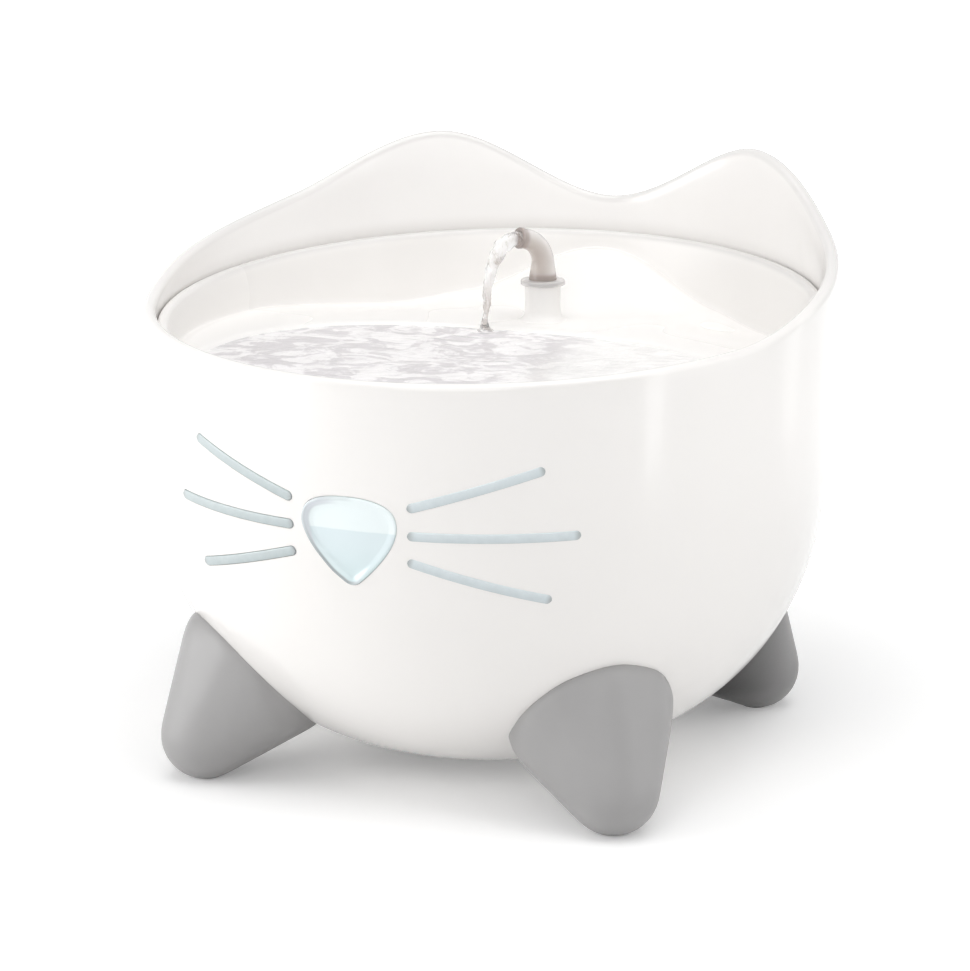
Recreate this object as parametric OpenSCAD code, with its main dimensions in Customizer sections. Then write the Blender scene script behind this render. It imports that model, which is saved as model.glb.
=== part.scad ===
// Pet water fountain: a round white basin with two ear-shaped peaks on its rear wall, four ear-shaped
// feet, six level windows and a lit nose lens, a lift-out drinking dish with a spout, and the filter
// and pump that feed it. Millimetres. The front faces -Y, +Z is up, and the origin lies on the floor
// under the axis of the basin. Angles called "a" are measured from the front, towards +X.

/* [Basin] */
// Outer radius of the basin above its curved lower part
basin_r = 107; // [105:0.5:109]
// Height of the basin's underside above the floor
base_z = 6; // [5:0.5:7]
// Radius of the flat part of the underside
base_r = 35; // [33:1:37]
// Thickness of the basin's lower wall
wall = 2.6; // [2.4:0.1:2.8]
// Height where the curved side has become upright
side_top_z = 150; // [148:1:152]
// Height of the lip's middle plane over the dish rim's plane
lip_over_rim = 5.34; // [4.5:0.01:6]
// Tilt of the lip and of the dish rim, low at the front
rim_tilt = 4.16; // [3.5:0.01:4.6]

/* [Dish] */
// Gap between the dish rim and the wall around it
dish_gap = 0.65; // [0.5:0.05:0.9]
// Height of the deck around the pool
deck_z = 128; // [127.5:0.1:128.5]
// Height of the dish rim over the deck, on the basin's axis
rim_over_deck = 12.26; // [11.5:0.01:13]
// Depth of the pool below the deck
pool_depth = 11; // [9:0.5:12]
// Half the width of the pool
pool_half_w = 80; // [74:1:82]
// Half the length of the pool, front to back
pool_half_l = 61; // [56:1:62]
// Height of the rear hill above the deck
hill_h = 14.6; // [10:0.1:16]

/* [Spout] */
// Distance from the basin's axis to the spout's axis
spout_y = 44; // [43:0.5:45]
// Height of the spout's pillar over the deck
pillar_h = 11.4; // [10.5:0.1:12]
// Turn of the spout away from straight ahead
spout_turn = 32; // [0:1:45]

/* [Feet] */
// Distance from the basin's outside to the middle of a foot's tip
foot_inset = 12.6; // [11:0.2:14]
// Radius of a foot's rounded tip
foot_tip_r = 14.4; // [13.5:0.1:15]

/* [Hidden] */

shell_white = "white";
foot_grey = [0.60, 0.60, 0.61];
window_blue = [0.78, 0.88, 0.90];
dark_grey = [0.22, 0.22, 0.24];
eps = 0.05;     // assembly gap between touching pieces
far = 400;      // larger than the whole object
fine = 144;     // facets of the large round parts
round_fn = 48;  // facets of the small round parts

// ---- basin profile ---------------------------------------------------------------------------
profile_steps = 24;
profile_power = 3.9;    // how late the side turns in towards the underside
profile_root = 1.54;    // how sharply it meets the underside
height_power = 1.6;     // rings are denser near the underside
lip_r = basin_r - 2;            // radius of the lip's crest
recess_r = basin_r - 4;         // inner radius above the dish ledge
ledge_r = recess_r - 2.4;       // inner radius of the dish ledge
flange_h = 3;           // thickness of the dish rim and of the ledge
seam_z = deck_z + rim_over_deck;
lip_z = seam_z + lip_over_rim;
above_all_z = lip_z + 60;
ledge_from_z = deck_z - 10;     // below the ledge's lowest point
tilt_slope = tan(rim_tilt);

function ring_z(i) = base_z + (side_top_z - base_z) * pow(i / profile_steps, height_power);
function side_r(z) = base_r + (basin_r - base_r)
    * pow(1 - pow((side_top_z - z) / (side_top_z - base_z), profile_power), 1 / profile_root);
function ring_point(i) = [side_r(ring_z(i)), ring_z(i)];
function ring_along(i) = ring_point(min(i + 1, profile_steps)) - ring_point(max(i - 1, 0));
function ring_normal(i) = i == 0 ? [0, -1]
    : i == profile_steps ? [1, 0]
    : [ring_along(i)[1], -ring_along(i)[0]] / norm(ring_along(i));
function offset_point(i, d) = ring_point(i) + d * ring_normal(i);

// Solid inside the basin's outer face moved out by d
module basin_solid(d = 0, top = above_all_z) {
    side = [for (i = [0 : profile_steps]) offset_point(i, d)];
    rotate_extrude($fn = fine)
        polygon(concat([[0, base_z - d]], side, [[basin_r + d, top], [0, top]]));
}

// Layer of the basin's side between two offsets from its outer face, from ring i1 to ring i2
module basin_layer(d_in, d_out, i1 = 14, i2 = 21) {
    rotate_extrude($fn = fine)
        polygon(concat([for (i = [i1 : i2]) offset_point(i, d_out)],
                       [for (i = [i2 : -1 : i1]) offset_point(i, d_in)]));
}

// Everything above (or below) the plane that is parallel to the dish rim and lies dz over it
module above_rim_plane(dz) {
    translate([0, 0, seam_z + dz]) rotate([rim_tilt, 0, 0]) translate([-far / 2, -far / 2, 0]) cube(far);
}
module below_rim_plane(dz) {
    translate([0, 0, seam_z + dz]) rotate([rim_tilt, 0, 0]) translate([-far / 2, -far / 2, -far]) cube(far);
}

// ---- lip and ears ----------------------------------------------------------------------------
// Rise of the lip above its plane: angle from the back, rise, slope
ear_path = [[0, 6, 0], [32.5, 28, 0], [60, 13, -0.40], [90, 5, -0.23], [115, 0, 0]];
lip_steps = fine;
lip_half_flat = 0.8;
lip_bevel = 1.1;

function hermite(p, q, x) =
    let (w = q[0] - p[0], u = (x - p[0]) / w)
    p[1] * (2 * u * u * u - 3 * u * u + 1) + w * p[2] * (u * u * u - 2 * u * u + u)
    + q[1] * (3 * u * u - 2 * u * u * u) + w * q[2] * (u * u * u - u * u);
function ear_rise(b, i = 0) =
    i >= len(ear_path) - 1 ? 0
    : b <= ear_path[i + 1][0] ? hermite(ear_path[i], ear_path[i + 1], b)
    : ear_rise(b, i + 1);
function lip_height(a) = lip_z - lip_r * tilt_slope * cos(a) + ear_rise(180 - abs(a));
function polar(r, a, z) = [r * sin(a), -r * cos(a), z];

// Ring of space above the lip, with a bevel on both edges of the wall below it
module above_lip() {
    lip_inner_r = recess_r - 4;
    lip_outer_r = basin_r + 4;
    bevel_inner = lip_r - lip_half_flat;
    bevel_outer = lip_r + lip_half_flat;
    section = [[lip_inner_r, lip_inner_r - bevel_inner], [bevel_inner, 0],
               [bevel_outer, 0], [lip_outer_r, bevel_outer - lip_outer_r]];
    count = len(section) + 2;
    points = [for (k = [0 : lip_steps - 1])
        let (a = -180 + 360 * k / lip_steps, h = lip_height(a))
        each concat([for (s = section) polar(s[0], a, h + lip_bevel * s[1])],
                    [polar(lip_outer_r, a, above_all_z), polar(lip_inner_r, a, above_all_z)])];
    faces = [for (k = [0 : lip_steps - 1], j = [0 : count - 1])
        let (k2 = (k + 1) % lip_steps, j2 = (j + 1) % count)
        each [[k * count + j, k * count + j2, k2 * count + j],
              [k * count + j2, k2 * count + j2, k2 * count + j]]];
    polyhedron(points, faces);
}

// ---- whisker windows -------------------------------------------------------------------------
whisker_w = 2.8;
window_proud = 0.3;
window_face_depth = 1.6;    // wall left in front of a window's rear flange
window_flange_h = 1.35;
window_flange_w = 5.8;
// Each window: angle and height of its inner end, then of its outer end
upper_window = [10.5, 102.2, 30.2, 113.3];
middle_window = [10.5, 93.8, 35.9, 94.1];
lower_window = [10.4, 85.6, 31.6, 75.0];

function on_side(a, z) = polar(side_r(z), a, z);
function unit(v) = v / norm(v);

// Bar of height w along a window's line, with round ends; side is -1 on the left
module window_bar(line, side, w) {
    reach = 8;
    p = on_side(side * line[0], line[1]);
    q = on_side(side * line[2], line[3]);
    centre_z = (q * q - p * p) / (2 * (q[2] - p[2]));
    centre = [0, 0, centre_z];
    radius = norm(p - centre);
    u = unit(p - centre);
    n = unit(cross(p - centre, q - centre));
    v = cross(n, u);
    sweep = acos(u * unit(q - centre));
    multmatrix([[u[0], v[0], n[0], 0], [u[1], v[1], n[1], 0], [u[2], v[2], n[2], centre_z], [0, 0, 0, 1]]) {
        rotate_extrude(angle = sweep, $fn = fine)
            translate([radius - reach, -w / 2]) square([2 * reach, w]);
        for (turn = [0, sweep])
            rotate([0, 90, turn]) translate([0, 0, radius - reach])
                cylinder(d = w + 0.04, h = 2 * reach, $fn = round_fn);
    }
}
module window_cut(line, side) {
    intersection() {
        union() {
            intersection() {
                window_bar(line, side, whisker_w + 2 * eps);
                basin_layer(-wall - 2, 2);
            }
            intersection() {
                window_bar(line, side, window_flange_w + 2 * eps);
                basin_layer(-wall - 2, -window_face_depth);
            }
        }
        front_block(side);
    }
}
// A window clears the light cover behind the wall
module window(line, side) {
    color(window_blue) difference() {
        window_pane(line, side);
        intersection() {
            nose_prism(light_cover_grow + eps);
            basin_solid(-wall);
        }
    }
}
module window_pane(line, side) {
    union() {
        intersection() {
            window_bar(line, side, whisker_w);
            basin_layer(-window_face_depth - window_flange_h, window_proud);
        }
        intersection() {
            window_bar(line, side, window_flange_w);
            basin_layer(-window_face_depth - window_flange_h, -window_face_depth - eps);
        }
    }
}
// Region in front of the basin's axis on one side
module front_block(side) {
    translate([side > 0 ? 0 : -150, -150, 0]) cube([150, 110, 150]);
}

// ---- nose ------------------------------------------------------------------------------------
nose_top_z = 103.9;
nose_tip_z = 77.3;
nose_half_w = 15.6;
nose_corner_r = 6.2;
nose_tip_r = 3.2;

module nose_outline(grow = 0) {
    hull($fn = 40) {
        for (side = [-1, 1])
            translate([side * (nose_half_w - nose_corner_r), nose_top_z - nose_corner_r - 0.8])
                circle(r = nose_corner_r + grow);
        translate([0, nose_top_z - nose_corner_r]) circle(r = nose_corner_r + grow);
        translate([0, nose_tip_z + nose_tip_r]) circle(r = nose_tip_r + grow);
    }
}
module nose_prism(grow, y_out = basin_r + 13, y_in = basin_r - 37) {
    translate([0, -y_in, 0]) rotate([90, 0, 0]) linear_extrude(y_out - y_in) nose_outline(grow);
}
module nose_piece(grow, d_in, d_out) {
    intersection() {
        nose_prism(grow);
        basin_layer(d_in, d_out);
    }
}

nose_proud = 0.85;
nose_rim_w = 1.7;
nose_face = -0.4;       // the lens's face is sunk within its rim
nose_flange_w = 2.4;
nose_seal_h = 0.8;
nose_flange_h = 1.2;

module nose_lens() {
    flange_top = -wall - nose_seal_h;
    color(window_blue) {
        difference() {
            nose_piece(0, flange_top - nose_flange_h, nose_proud);
            nose_piece(-nose_rim_w, nose_face, nose_proud + 1);
        }
        nose_piece(nose_flange_w, flange_top - nose_flange_h, flange_top - eps);
    }
}
module nose_seal() {
    color(dark_grey) difference() {
        nose_piece(nose_flange_w, -wall - nose_seal_h, -wall - eps);
        nose_prism(eps);
    }
}

light_cover_grow = 5;
light_cover_wall = 1.8;
light_back_y = basin_r - 19;

module nose_light_cover() {
    color(shell_white) difference() {
        intersection() {
            nose_prism(light_cover_grow, basin_r + 13, light_back_y);
            basin_solid(-wall - eps);
        }
        nose_prism(light_cover_grow - light_cover_wall, basin_r + 13, light_back_y + light_cover_wall);
    }
}
light_z = 92;
board_y = light_back_y + light_cover_wall + 1.7;
module nose_light_board() {
    color("seagreen") translate([0, 1.7 - board_y, light_z]) rotate([90, 0, 0])
        translate([-8, -7, eps]) cube([16, 14, 1.6]);
}
module nose_led() {
    color("white") translate([0, -board_y, light_z]) rotate([90, 0, 0]) {
        cylinder(r = 2.5, h = 2.7, $fn = round_fn);
        translate([0, 0, 2.7]) sphere(r = 2.5, $fn = round_fn);
    }
}

// ---- feet ------------------------------------------------------------------------------------
foot_tip_z = foot_tip_r - 0.4;
foot_d = basin_r - foot_inset;
foot_screw_d = foot_d - 10.4;
foot_clear = 0.4;       // the grey foot stays this far off the floor; its pad reaches it
pad_r = 4.4;
pad_h = 2;
screw_r = 1.45;
screw_head_r = 2.9;
screw_seat_z = 14;
screw_top_z = 40;
boss_r = 4.2;
boss_top_z = 43;

// Round bodies that the foot is stretched over: distance out, sideways, height, radius
module foot_form(shrink, facets) {
    forms = [[foot_d, 0, foot_tip_z, foot_tip_r], [foot_d - 12.6, 13.1, 31.5, 13.1],
             [foot_d - 12.6, -13.1, 31.5, 13.1], [foot_d - 6.3, 0, 40.6, 14.8],
             [foot_d - 27.8, 0, 23.3, 12.7]];
    hull() for (f = forms)
        translate([f[1], -f[0], f[2]]) sphere(r = f[3] - shrink, $fn = facets);
}
module foot() {
    color(foot_grey) difference() {
        foot_form(0, 28);
        basin_solid(eps, 120);
        difference() {
            foot_form(2.6, 14);
            translate([0, -foot_screw_d, 0]) cylinder(r = 4.6, h = 60, $fn = round_fn);
            translate([0, -foot_d, 0]) cylinder(r = 6.5, h = 6, $fn = round_fn);
        }
        translate([-far / 2, -far / 2, foot_clear - far]) cube(far);
        translate([0, -foot_d, -1]) cylinder(r = pad_r + eps, h = pad_h + 1 + eps, $fn = round_fn);
        translate([0, -foot_screw_d, -1])
            cylinder(r = screw_head_r + 0.3, h = screw_seat_z + 1, $fn = round_fn);
        translate([0, -foot_screw_d, 0]) cylinder(r = screw_r + 0.2, h = 60, $fn = round_fn);
    }
}
foot_angles = [45, 135, 225, 315];      // front right, rear right, rear left, front left

module foot_screws() {
    color("silver") for (a = foot_angles) rotate(a) translate([0, -foot_screw_d, 0]) {
        difference() {
            translate([0, 0, screw_seat_z - 2.2 - eps]) cylinder(r = screw_head_r, h = 2.2, $fn = round_fn);
            translate([0, 0, screw_seat_z - 3]) cylinder(r = 1.3, h = 1.8, $fn = 6);
        }
        translate([0, 0, screw_seat_z - 0.4])
            cylinder(r = screw_r, h = screw_top_z - screw_seat_z, $fn = round_fn);
    }
}
module foot_pads() {
    color(dark_grey) for (a = foot_angles) rotate(a) translate([0, -foot_d, 0])
        cylinder(r = pad_r, h = pad_h, $fn = round_fn);
}

// ---- tank shell ------------------------------------------------------------------------------
grommet_z = 116;
grommet_r = 4.5;
pin_r = 1.6;
pin_top_z = 13;
chamber_y = spout_y / 2;
leg_places = [[-18, chamber_y - 14], [18, chamber_y - 14], [-18, chamber_y + 3], [18, chamber_y + 3]];

module tank_shell() {
    color(shell_white) difference() {
        union() {
            difference() {
                basin_solid(0, above_all_z - 10);
                intersection() {
                    basin_solid(-wall);
                    below_rim_plane(-2 * flange_h);
                }
                translate([0, 0, ledge_from_z]) cylinder(r = ledge_r, h = far, $fn = fine);
                intersection() {
                    translate([0, 0, ledge_from_z]) cylinder(r = recess_r, h = far, $fn = fine);
                    above_rim_plane(-flange_h);
                }
            }
            intersection() {
                basin_solid(-wall / 2);
                for (a = foot_angles) rotate(a) translate([0, -foot_screw_d, 0])
                    cylinder(r = boss_r, h = boss_top_z, $fn = round_fn);
            }
            for (p = leg_places) translate([p[0], p[1], base_z + 1])
                cylinder(r = pin_r, h = pin_top_z - base_z - 1, $fn = round_fn);
        }
        above_lip();
        for (a = foot_angles) rotate(a) translate([0, -foot_screw_d, 0])
            cylinder(r = screw_r + eps, h = screw_top_z + 1, $fn = round_fn);
        for (side = [-1, 1], line = [upper_window, middle_window, lower_window]) window_cut(line, side);
        nose_prism(eps);
        translate([0, basin_r - 1.6, grommet_z]) rotate([-90, 0, 0])
            cylinder(r = grommet_r + 2.5 + eps, h = 10, $fn = round_fn);
        translate([0, basin_r - 17, grommet_z]) rotate([-90, 0, 0])
            cylinder(r = grommet_r + eps, h = 30, $fn = round_fn);
    }
}
module cable_grommet() {
    inner_face = basin_r - 5.5;
    color(dark_grey) translate([0, 0, grommet_z]) rotate([-90, 0, 0]) difference() {
        union() {
            translate([0, 0, inner_face]) cylinder(r = grommet_r, h = basin_r - inner_face, $fn = round_fn);
            translate([0, 0, basin_r - 1.6 + eps]) cylinder(r = grommet_r + 2.5, h = 1.4, $fn = round_fn);
            translate([0, 0, inner_face - 0.4]) cylinder(r = grommet_r + 1.5, h = 2, $fn = round_fn);
        }
        translate([0, 0, basin_r - 17]) cylinder(r = 1.9, h = 30, $fn = round_fn);
    }
}

// ---- drinking dish ---------------------------------------------------------------------------
dish_wall = 2.5;
dish_r = recess_r - dish_gap;
dish_side_r = ledge_r - 0.3;
pool_y = -33;
pool_power = 2.5;       // roundness of the pool's outline: 2 is an ellipse, more is squarer
pool_points = 64;
pillar_r = 5.75;
pillar_bore_r = 3.6;
spigot_r = 5;
spigot_end_z = deck_z - 22;
pillar_top_z = deck_z + pillar_h;
weir_z = deck_z - 1.5;

function pool_outline(k, d, z) =
    let (a = 360 * k / pool_points, c = cos(a), s = sin(a))
    [(pool_half_w - d) * sign(c) * pow(abs(c), 2 / pool_power),
     pool_y + (pool_half_l - d) * sign(s) * pow(abs(s), 2 / pool_power), z];

// Solid stretched over a stack of pool outlines; each level is the inset and the height
module pool_form(levels) {
    n = pool_points;
    rings = len(levels);
    points = [for (level = levels, k = [0 : n - 1]) pool_outline(k, level[0], level[1])];
    sides = [for (i = [0 : rings - 2], k = [0 : n - 1])
        let (k2 = (k + 1) % n)
        each [[i * n + k, i * n + k2, (i + 1) * n + k],
              [i * n + k2, (i + 1) * n + k2, (i + 1) * n + k]]];
    caps = [[for (k = [n - 1 : -1 : 0]) k], [for (k = [0 : n - 1]) (rings - 1) * n + k]];
    polyhedron(points, concat(sides, caps));
}
pool_side = [[-2, 0.4], [0, -0.4], [2.4, -2.6], [5, -6.6], [9, -9.6], [15, -11]];
floor_scale = pool_depth / 11;

module pool_space() {
    intersection() {
        pool_form([for (s = pool_side) [s[0], deck_z + (s[1] > 0 ? s[1] : s[1] * floor_scale)]]);
        cylinder(r = dish_side_r - dish_wall - 1, h = above_all_z, $fn = fine);
    }
}
module pool_bowl() {
    intersection() {
        pool_form([for (s = pool_side) [s[0] - 2.2,
            deck_z - dish_wall + (s[1] > 0 ? 0 : s[1] * floor_scale)]]);
        cylinder(r = dish_side_r - 0.2, h = above_all_z, $fn = fine);
    }
}

hill_y = 96;
hill_half_w = 44;
hill_half_l = 46;
hill_rings = 8;
hill_points = 32;

// Smooth round hill on the deck, its foot sunk below the deck
module hill(drop = 0, sink = 1) {
    n = hill_points;
    points = concat([[0, hill_y, deck_z + hill_h - drop]],
        [for (i = [1 : hill_rings], k = [0 : n - 1])
            let (s = i / hill_rings, a = 360 * k / n, f = 1 - s * s)
            [hill_half_w * s * cos(a), hill_y + hill_half_l * s * sin(a), deck_z + hill_h * f * f - drop]],
        [for (k = [0 : n - 1])
            [hill_half_w * cos(360 * k / n), hill_y + hill_half_l * sin(360 * k / n),
                deck_z - sink - drop]]);
    crown = [for (k = [0 : n - 1]) [0, 1 + (k + 1) % n, 1 + k]];
    slopes = [for (i = [0 : hill_rings - 1], k = [0 : n - 1])
        let (b = 1 + i * n, k2 = (k + 1) % n)
        each [[b + k, b + k2, b + n + k], [b + k2, b + n + k2, b + n + k]]];
    foot_face = [[for (k = [0 : n - 1]) 1 + hill_rings * n + k]];
    polyhedron(points, concat(crown, slopes, foot_face));
}

// Inside of the dish's wall: distance in from the rim's edge, and height over the rim
cavity_side = [[7.55, -24], [4.95, -7], [3.85, -3], [2.65, -1.1], [0.95, 0], [0.95, 20]];
module dish_cavity() {
    translate([0, 0, seam_z]) rotate([rim_tilt, 0, 0]) rotate_extrude($fn = fine)
        polygon(concat([[0, -24]], [for (p = cavity_side) [dish_r - p[0], p[1]]], [[0, 20]]));
}
module drinking_dish() {
    color(shell_white) difference() {
        union() {
            difference() {
                intersection() {
                    union() {
                        translate([0, 0, deck_z - dish_wall]) cylinder(r = dish_side_r, h = 60, $fn = fine);
                        intersection() {
                            cylinder(r = dish_r, h = above_all_z, $fn = fine);
                            above_rim_plane(-flange_h + eps);
                        }
                    }
                    below_rim_plane(0);
                }
                intersection() {
                    dish_cavity();
                    translate([-far / 2, -far / 2, deck_z]) cube(far);
                }
            }
            intersection() {
                hill();
                cylinder(r = dish_side_r - 1, h = above_all_z, $fn = fine);
                below_rim_plane(0);
            }
            pool_bowl();
            translate([0, spout_y, spigot_end_z])
                cylinder(r = spigot_r, h = deck_z - spigot_end_z, $fn = round_fn);
            translate([0, spout_y, deck_z - 1])
                cylinder(r = pillar_r, h = pillar_top_z - deck_z + 1, $fn = round_fn);
        }
        pool_space();
        intersection() {
            hill(dish_wall, 3);
            cylinder(r = dish_side_r - dish_wall - 1, h = above_all_z, $fn = fine);
        }
        translate([0, spout_y, spigot_end_z - 1]) cylinder(r = pillar_bore_r, h = 60, $fn = round_fn);
        for (a = [-24, -12, 0, 12, 24]) rotate(a) {
            translate([-4, 1.3 - dish_side_r, weir_z]) cube([8, 10, 4]);
            translate([-4, 1.3 - dish_side_r, deck_z - 12]) cube([8, 2.2, 14]);
        }
    }
}

// ---- spout -----------------------------------------------------------------------------------
collar_flange_r = 7.15;
collar_flange_h = 1.6;
collar_top_z = pillar_top_z + eps + collar_flange_h;
collar_tail_r = 3.5;
collar_end_z = pillar_top_z - 12.4;
collar_bore_r = 2.55;
seal_groove_z = collar_end_z + 4;
nozzle_tail_r = 2.5;
nozzle_bore_r = 1.9;
nozzle_base_r = 3.9;
nozzle_r = 3.3;
nozzle_neck_h = 5;
nozzle_bend_r = 9;
nozzle_bend = 78;
nozzle_tip = 2.6;

module spout_collar() {
    color([0.80, 0.78, 0.77]) translate([0, spout_y, 0]) difference() {
        union() {
            translate([0, 0, collar_end_z])
                cylinder(r = collar_tail_r, h = pillar_top_z - collar_end_z + 1, $fn = round_fn);
            translate([0, 0, pillar_top_z + eps])
                cylinder(r = collar_flange_r, h = collar_flange_h, $fn = round_fn);
        }
        translate([0, 0, collar_end_z - 1]) cylinder(r = collar_bore_r, h = 30, $fn = round_fn);
        translate([0, 0, seal_groove_z]) rotate_extrude($fn = round_fn)
            translate([collar_tail_r - 0.5, 0]) square([2, 1.5]);
    }
}
module spout_seal() {
    color(dark_grey) translate([0, spout_y, seal_groove_z + 0.1]) rotate_extrude($fn = round_fn)
        translate([collar_tail_r - 0.45, 0]) square([0.5, 1.3]);
}
// Bent tube that leans towards -Y; its straight ends reach a little into the bend and past it
module nozzle_tube(bend_radius, end_r, neck_from, tip_to) {
    overlap = 0.5;
    translate([0, 0, neck_from])
        cylinder(r = end_r, h = nozzle_neck_h + overlap - neck_from, $fn = round_fn);
    translate([0, 0, nozzle_neck_h]) rotate([90, 0, -90]) translate([nozzle_bend_r, 0, 0])
        rotate([0, 0, 180 - nozzle_bend]) {
            rotate_extrude(angle = nozzle_bend, $fn = fine)
                translate([nozzle_bend_r, 0]) circle(r = bend_radius, $fn = round_fn);
            translate([nozzle_bend_r, overlap, 0]) rotate([90, 0, 0])
                cylinder(r = end_r, h = overlap + tip_to, $fn = round_fn);
        }
}
module spout_nozzle() {
    color([0.80, 0.78, 0.77]) translate([0, spout_y, collar_top_z + eps]) rotate(-spout_turn) difference() {
        union() {
            nozzle_tube(nozzle_r, nozzle_r + 0.15, 0, nozzle_tip);
            cylinder(r1 = nozzle_base_r, r2 = nozzle_r + 0.05, h = 3, $fn = round_fn);
            translate([0, 0, -11]) cylinder(r = nozzle_tail_r, h = 11.5, $fn = round_fn);
        }
        nozzle_tube(nozzle_bore_r, nozzle_bore_r + 0.1, -12, nozzle_tip + 1);
    }
}
riser_r = 6.6;
riser_bottom_z = 77;
riser_top_z = deck_z - 6;
outlet_r = 4.8;
outlet_top_z = 92;
module riser_tube() {
    color([0.85, 0.87, 0.88]) translate([0, spout_y, riser_bottom_z]) difference() {
        cylinder(r = riser_r, h = riser_top_z - riser_bottom_z, $fn = round_fn);
        translate([0, 0, -1]) cylinder(r = spigot_r, h = 60, $fn = round_fn);
    }
}

// ---- filter ----------------------------------------------------------------------------------
chamber_top_z = 70;
frame_bottom_z = 62;
frame_top_z = 87;
frame_wall = 1.8;
filter_hole_r = 8.2;        // passage for the riser, off the filter's axis
filter_edge = 1.9;          // filter left between the riser's passage and the frame
frame_r = spout_y - chamber_y + filter_hole_r + 2 * frame_wall + filter_edge;
frame_gap = 0.8;
chamber_wall = 2;
chamber_r = frame_r + frame_gap + chamber_wall;
media_r = frame_r - frame_wall - 0.1;
media_hole_r = filter_hole_r + frame_wall + 0.1;
carbon_bottom_z = frame_bottom_z + 2.1;
foam_bottom_z = carbon_bottom_z + 10.1;
foam_top_z = frame_top_z - 2.2;

module riser_passage(r) {
    translate([0, spout_y, 40]) cylinder(r = r, h = 80, $fn = round_fn);
}
// Grille of parallel bars with cross ribs, filling a disc
module filter_grille(r, h) {
    intersection() {
        cylinder(r = r, h = h, $fn = fine);
        union() {
            for (x = [-0.92 : 0.23 : 0.93]) translate([x * r - 1.1, -r, 0]) cube([2.2, 2 * r, h]);
            for (y = [-0.62, 0, 0.62]) translate([-r, y * r - 1.2, 0]) cube([2 * r, 2.4, h]);
        }
    }
}
module filter_frame() {
    color("white") difference() {
        union() {
            translate([0, chamber_y, frame_bottom_z]) {
                difference() {
                    union() {
                        cylinder(r = frame_r, h = frame_top_z - frame_bottom_z, $fn = fine);
                        translate([0, 0, chamber_top_z + eps - frame_bottom_z])
                            cylinder(r = chamber_r, h = 1.8, $fn = fine);
                    }
                    translate([0, 0, -1]) cylinder(r = frame_r - frame_wall, h = 40, $fn = fine);
                }
                filter_grille(frame_r - 0.5, 2);
            }
            translate([0, spout_y, frame_bottom_z])
                cylinder(r = filter_hole_r + frame_wall, h = frame_top_z - frame_bottom_z, $fn = round_fn);
        }
        riser_passage(filter_hole_r);
    }
}
module filter_carbon() {
    color([0.2, 0.2, 0.2]) difference() {
        translate([0, chamber_y, carbon_bottom_z]) cylinder(r = media_r, h = 10, $fn = fine);
        riser_passage(media_hole_r);
    }
}
module filter_foam() {
    color([0.55, 0.66, 0.80]) difference() {
        translate([0, chamber_y, foam_bottom_z])
            cylinder(r = media_r, h = foam_top_z - foam_bottom_z, $fn = fine);
        riser_passage(media_hole_r);
    }
}
module filter_lid() {
    tab_w = 16;
    tab_h = 11;
    color("white") difference() {
        translate([0, chamber_y, foam_top_z + eps]) {
            difference() {
                cylinder(r = media_r, h = 2, $fn = fine);
                translate([0, 0, -1]) cylinder(r = media_r - 2.5, h = 4, $fn = fine);
            }
            filter_grille(media_r - 1, 2);
            translate([0, -10, 1]) rotate([90, 0, 0]) translate([0, 0, -1.25]) difference() {
                union() {
                    translate([-tab_w / 2, 0, 0]) cube([tab_w, tab_h - 4, 2.5]);
                    translate([-tab_w / 2 + 4, 0, 0]) cube([tab_w - 8, tab_h, 2.5]);
                    for (x = [-1, 1]) translate([x * (tab_w / 2 - 4), tab_h - 4, 0])
                        cylinder(r = 4, h = 2.5, $fn = round_fn);
                }
                translate([-4, 3.5, -1]) cube([8, 4.5, 5]);
            }
        }
        riser_passage(media_hole_r);
    }
}

// ---- pump ------------------------------------------------------------------------------------
chamber_bottom_z = 20;
pump_axis_z = 43;
volute_r = 16;
volute_y = [spout_y - 6, spout_y + 6];
well_r = 7.2;
well_wall = 1.1;
pump_bottom_z = 27;
pump_top_z = 59;
pump_half_w = 17;
pump_front_y = 2;
shaft_r = 1;
rotor_r = 6.6;
rotor_y = [12, volute_y[0] - 1];
impeller_y = [volute_y[0] + 2, volute_y[1] - 1];
impeller_r = 12.2;

// Cylinder along +Y round the impeller's axis, between two places on that axis
module axis_cylinder(r, y1, y2, facets = round_fn) {
    translate([0, y1, pump_axis_z]) rotate([-90, 0, 0]) cylinder(r = r, h = y2 - y1, $fn = facets);
}
module rounded_block(x, y, z, r) {
    for (yy = [0, 1]) translate([r * (1 - yy) - x, r * yy, 0])
        cube([2 * (x - r * (1 - yy)), y - 2 * r * yy, z]);
    for (sx = [-1, 1], yy = [r, y - r]) translate([sx * (x - r), yy, 0])
        cylinder(r = r, h = z, $fn = round_fn);
}

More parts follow.
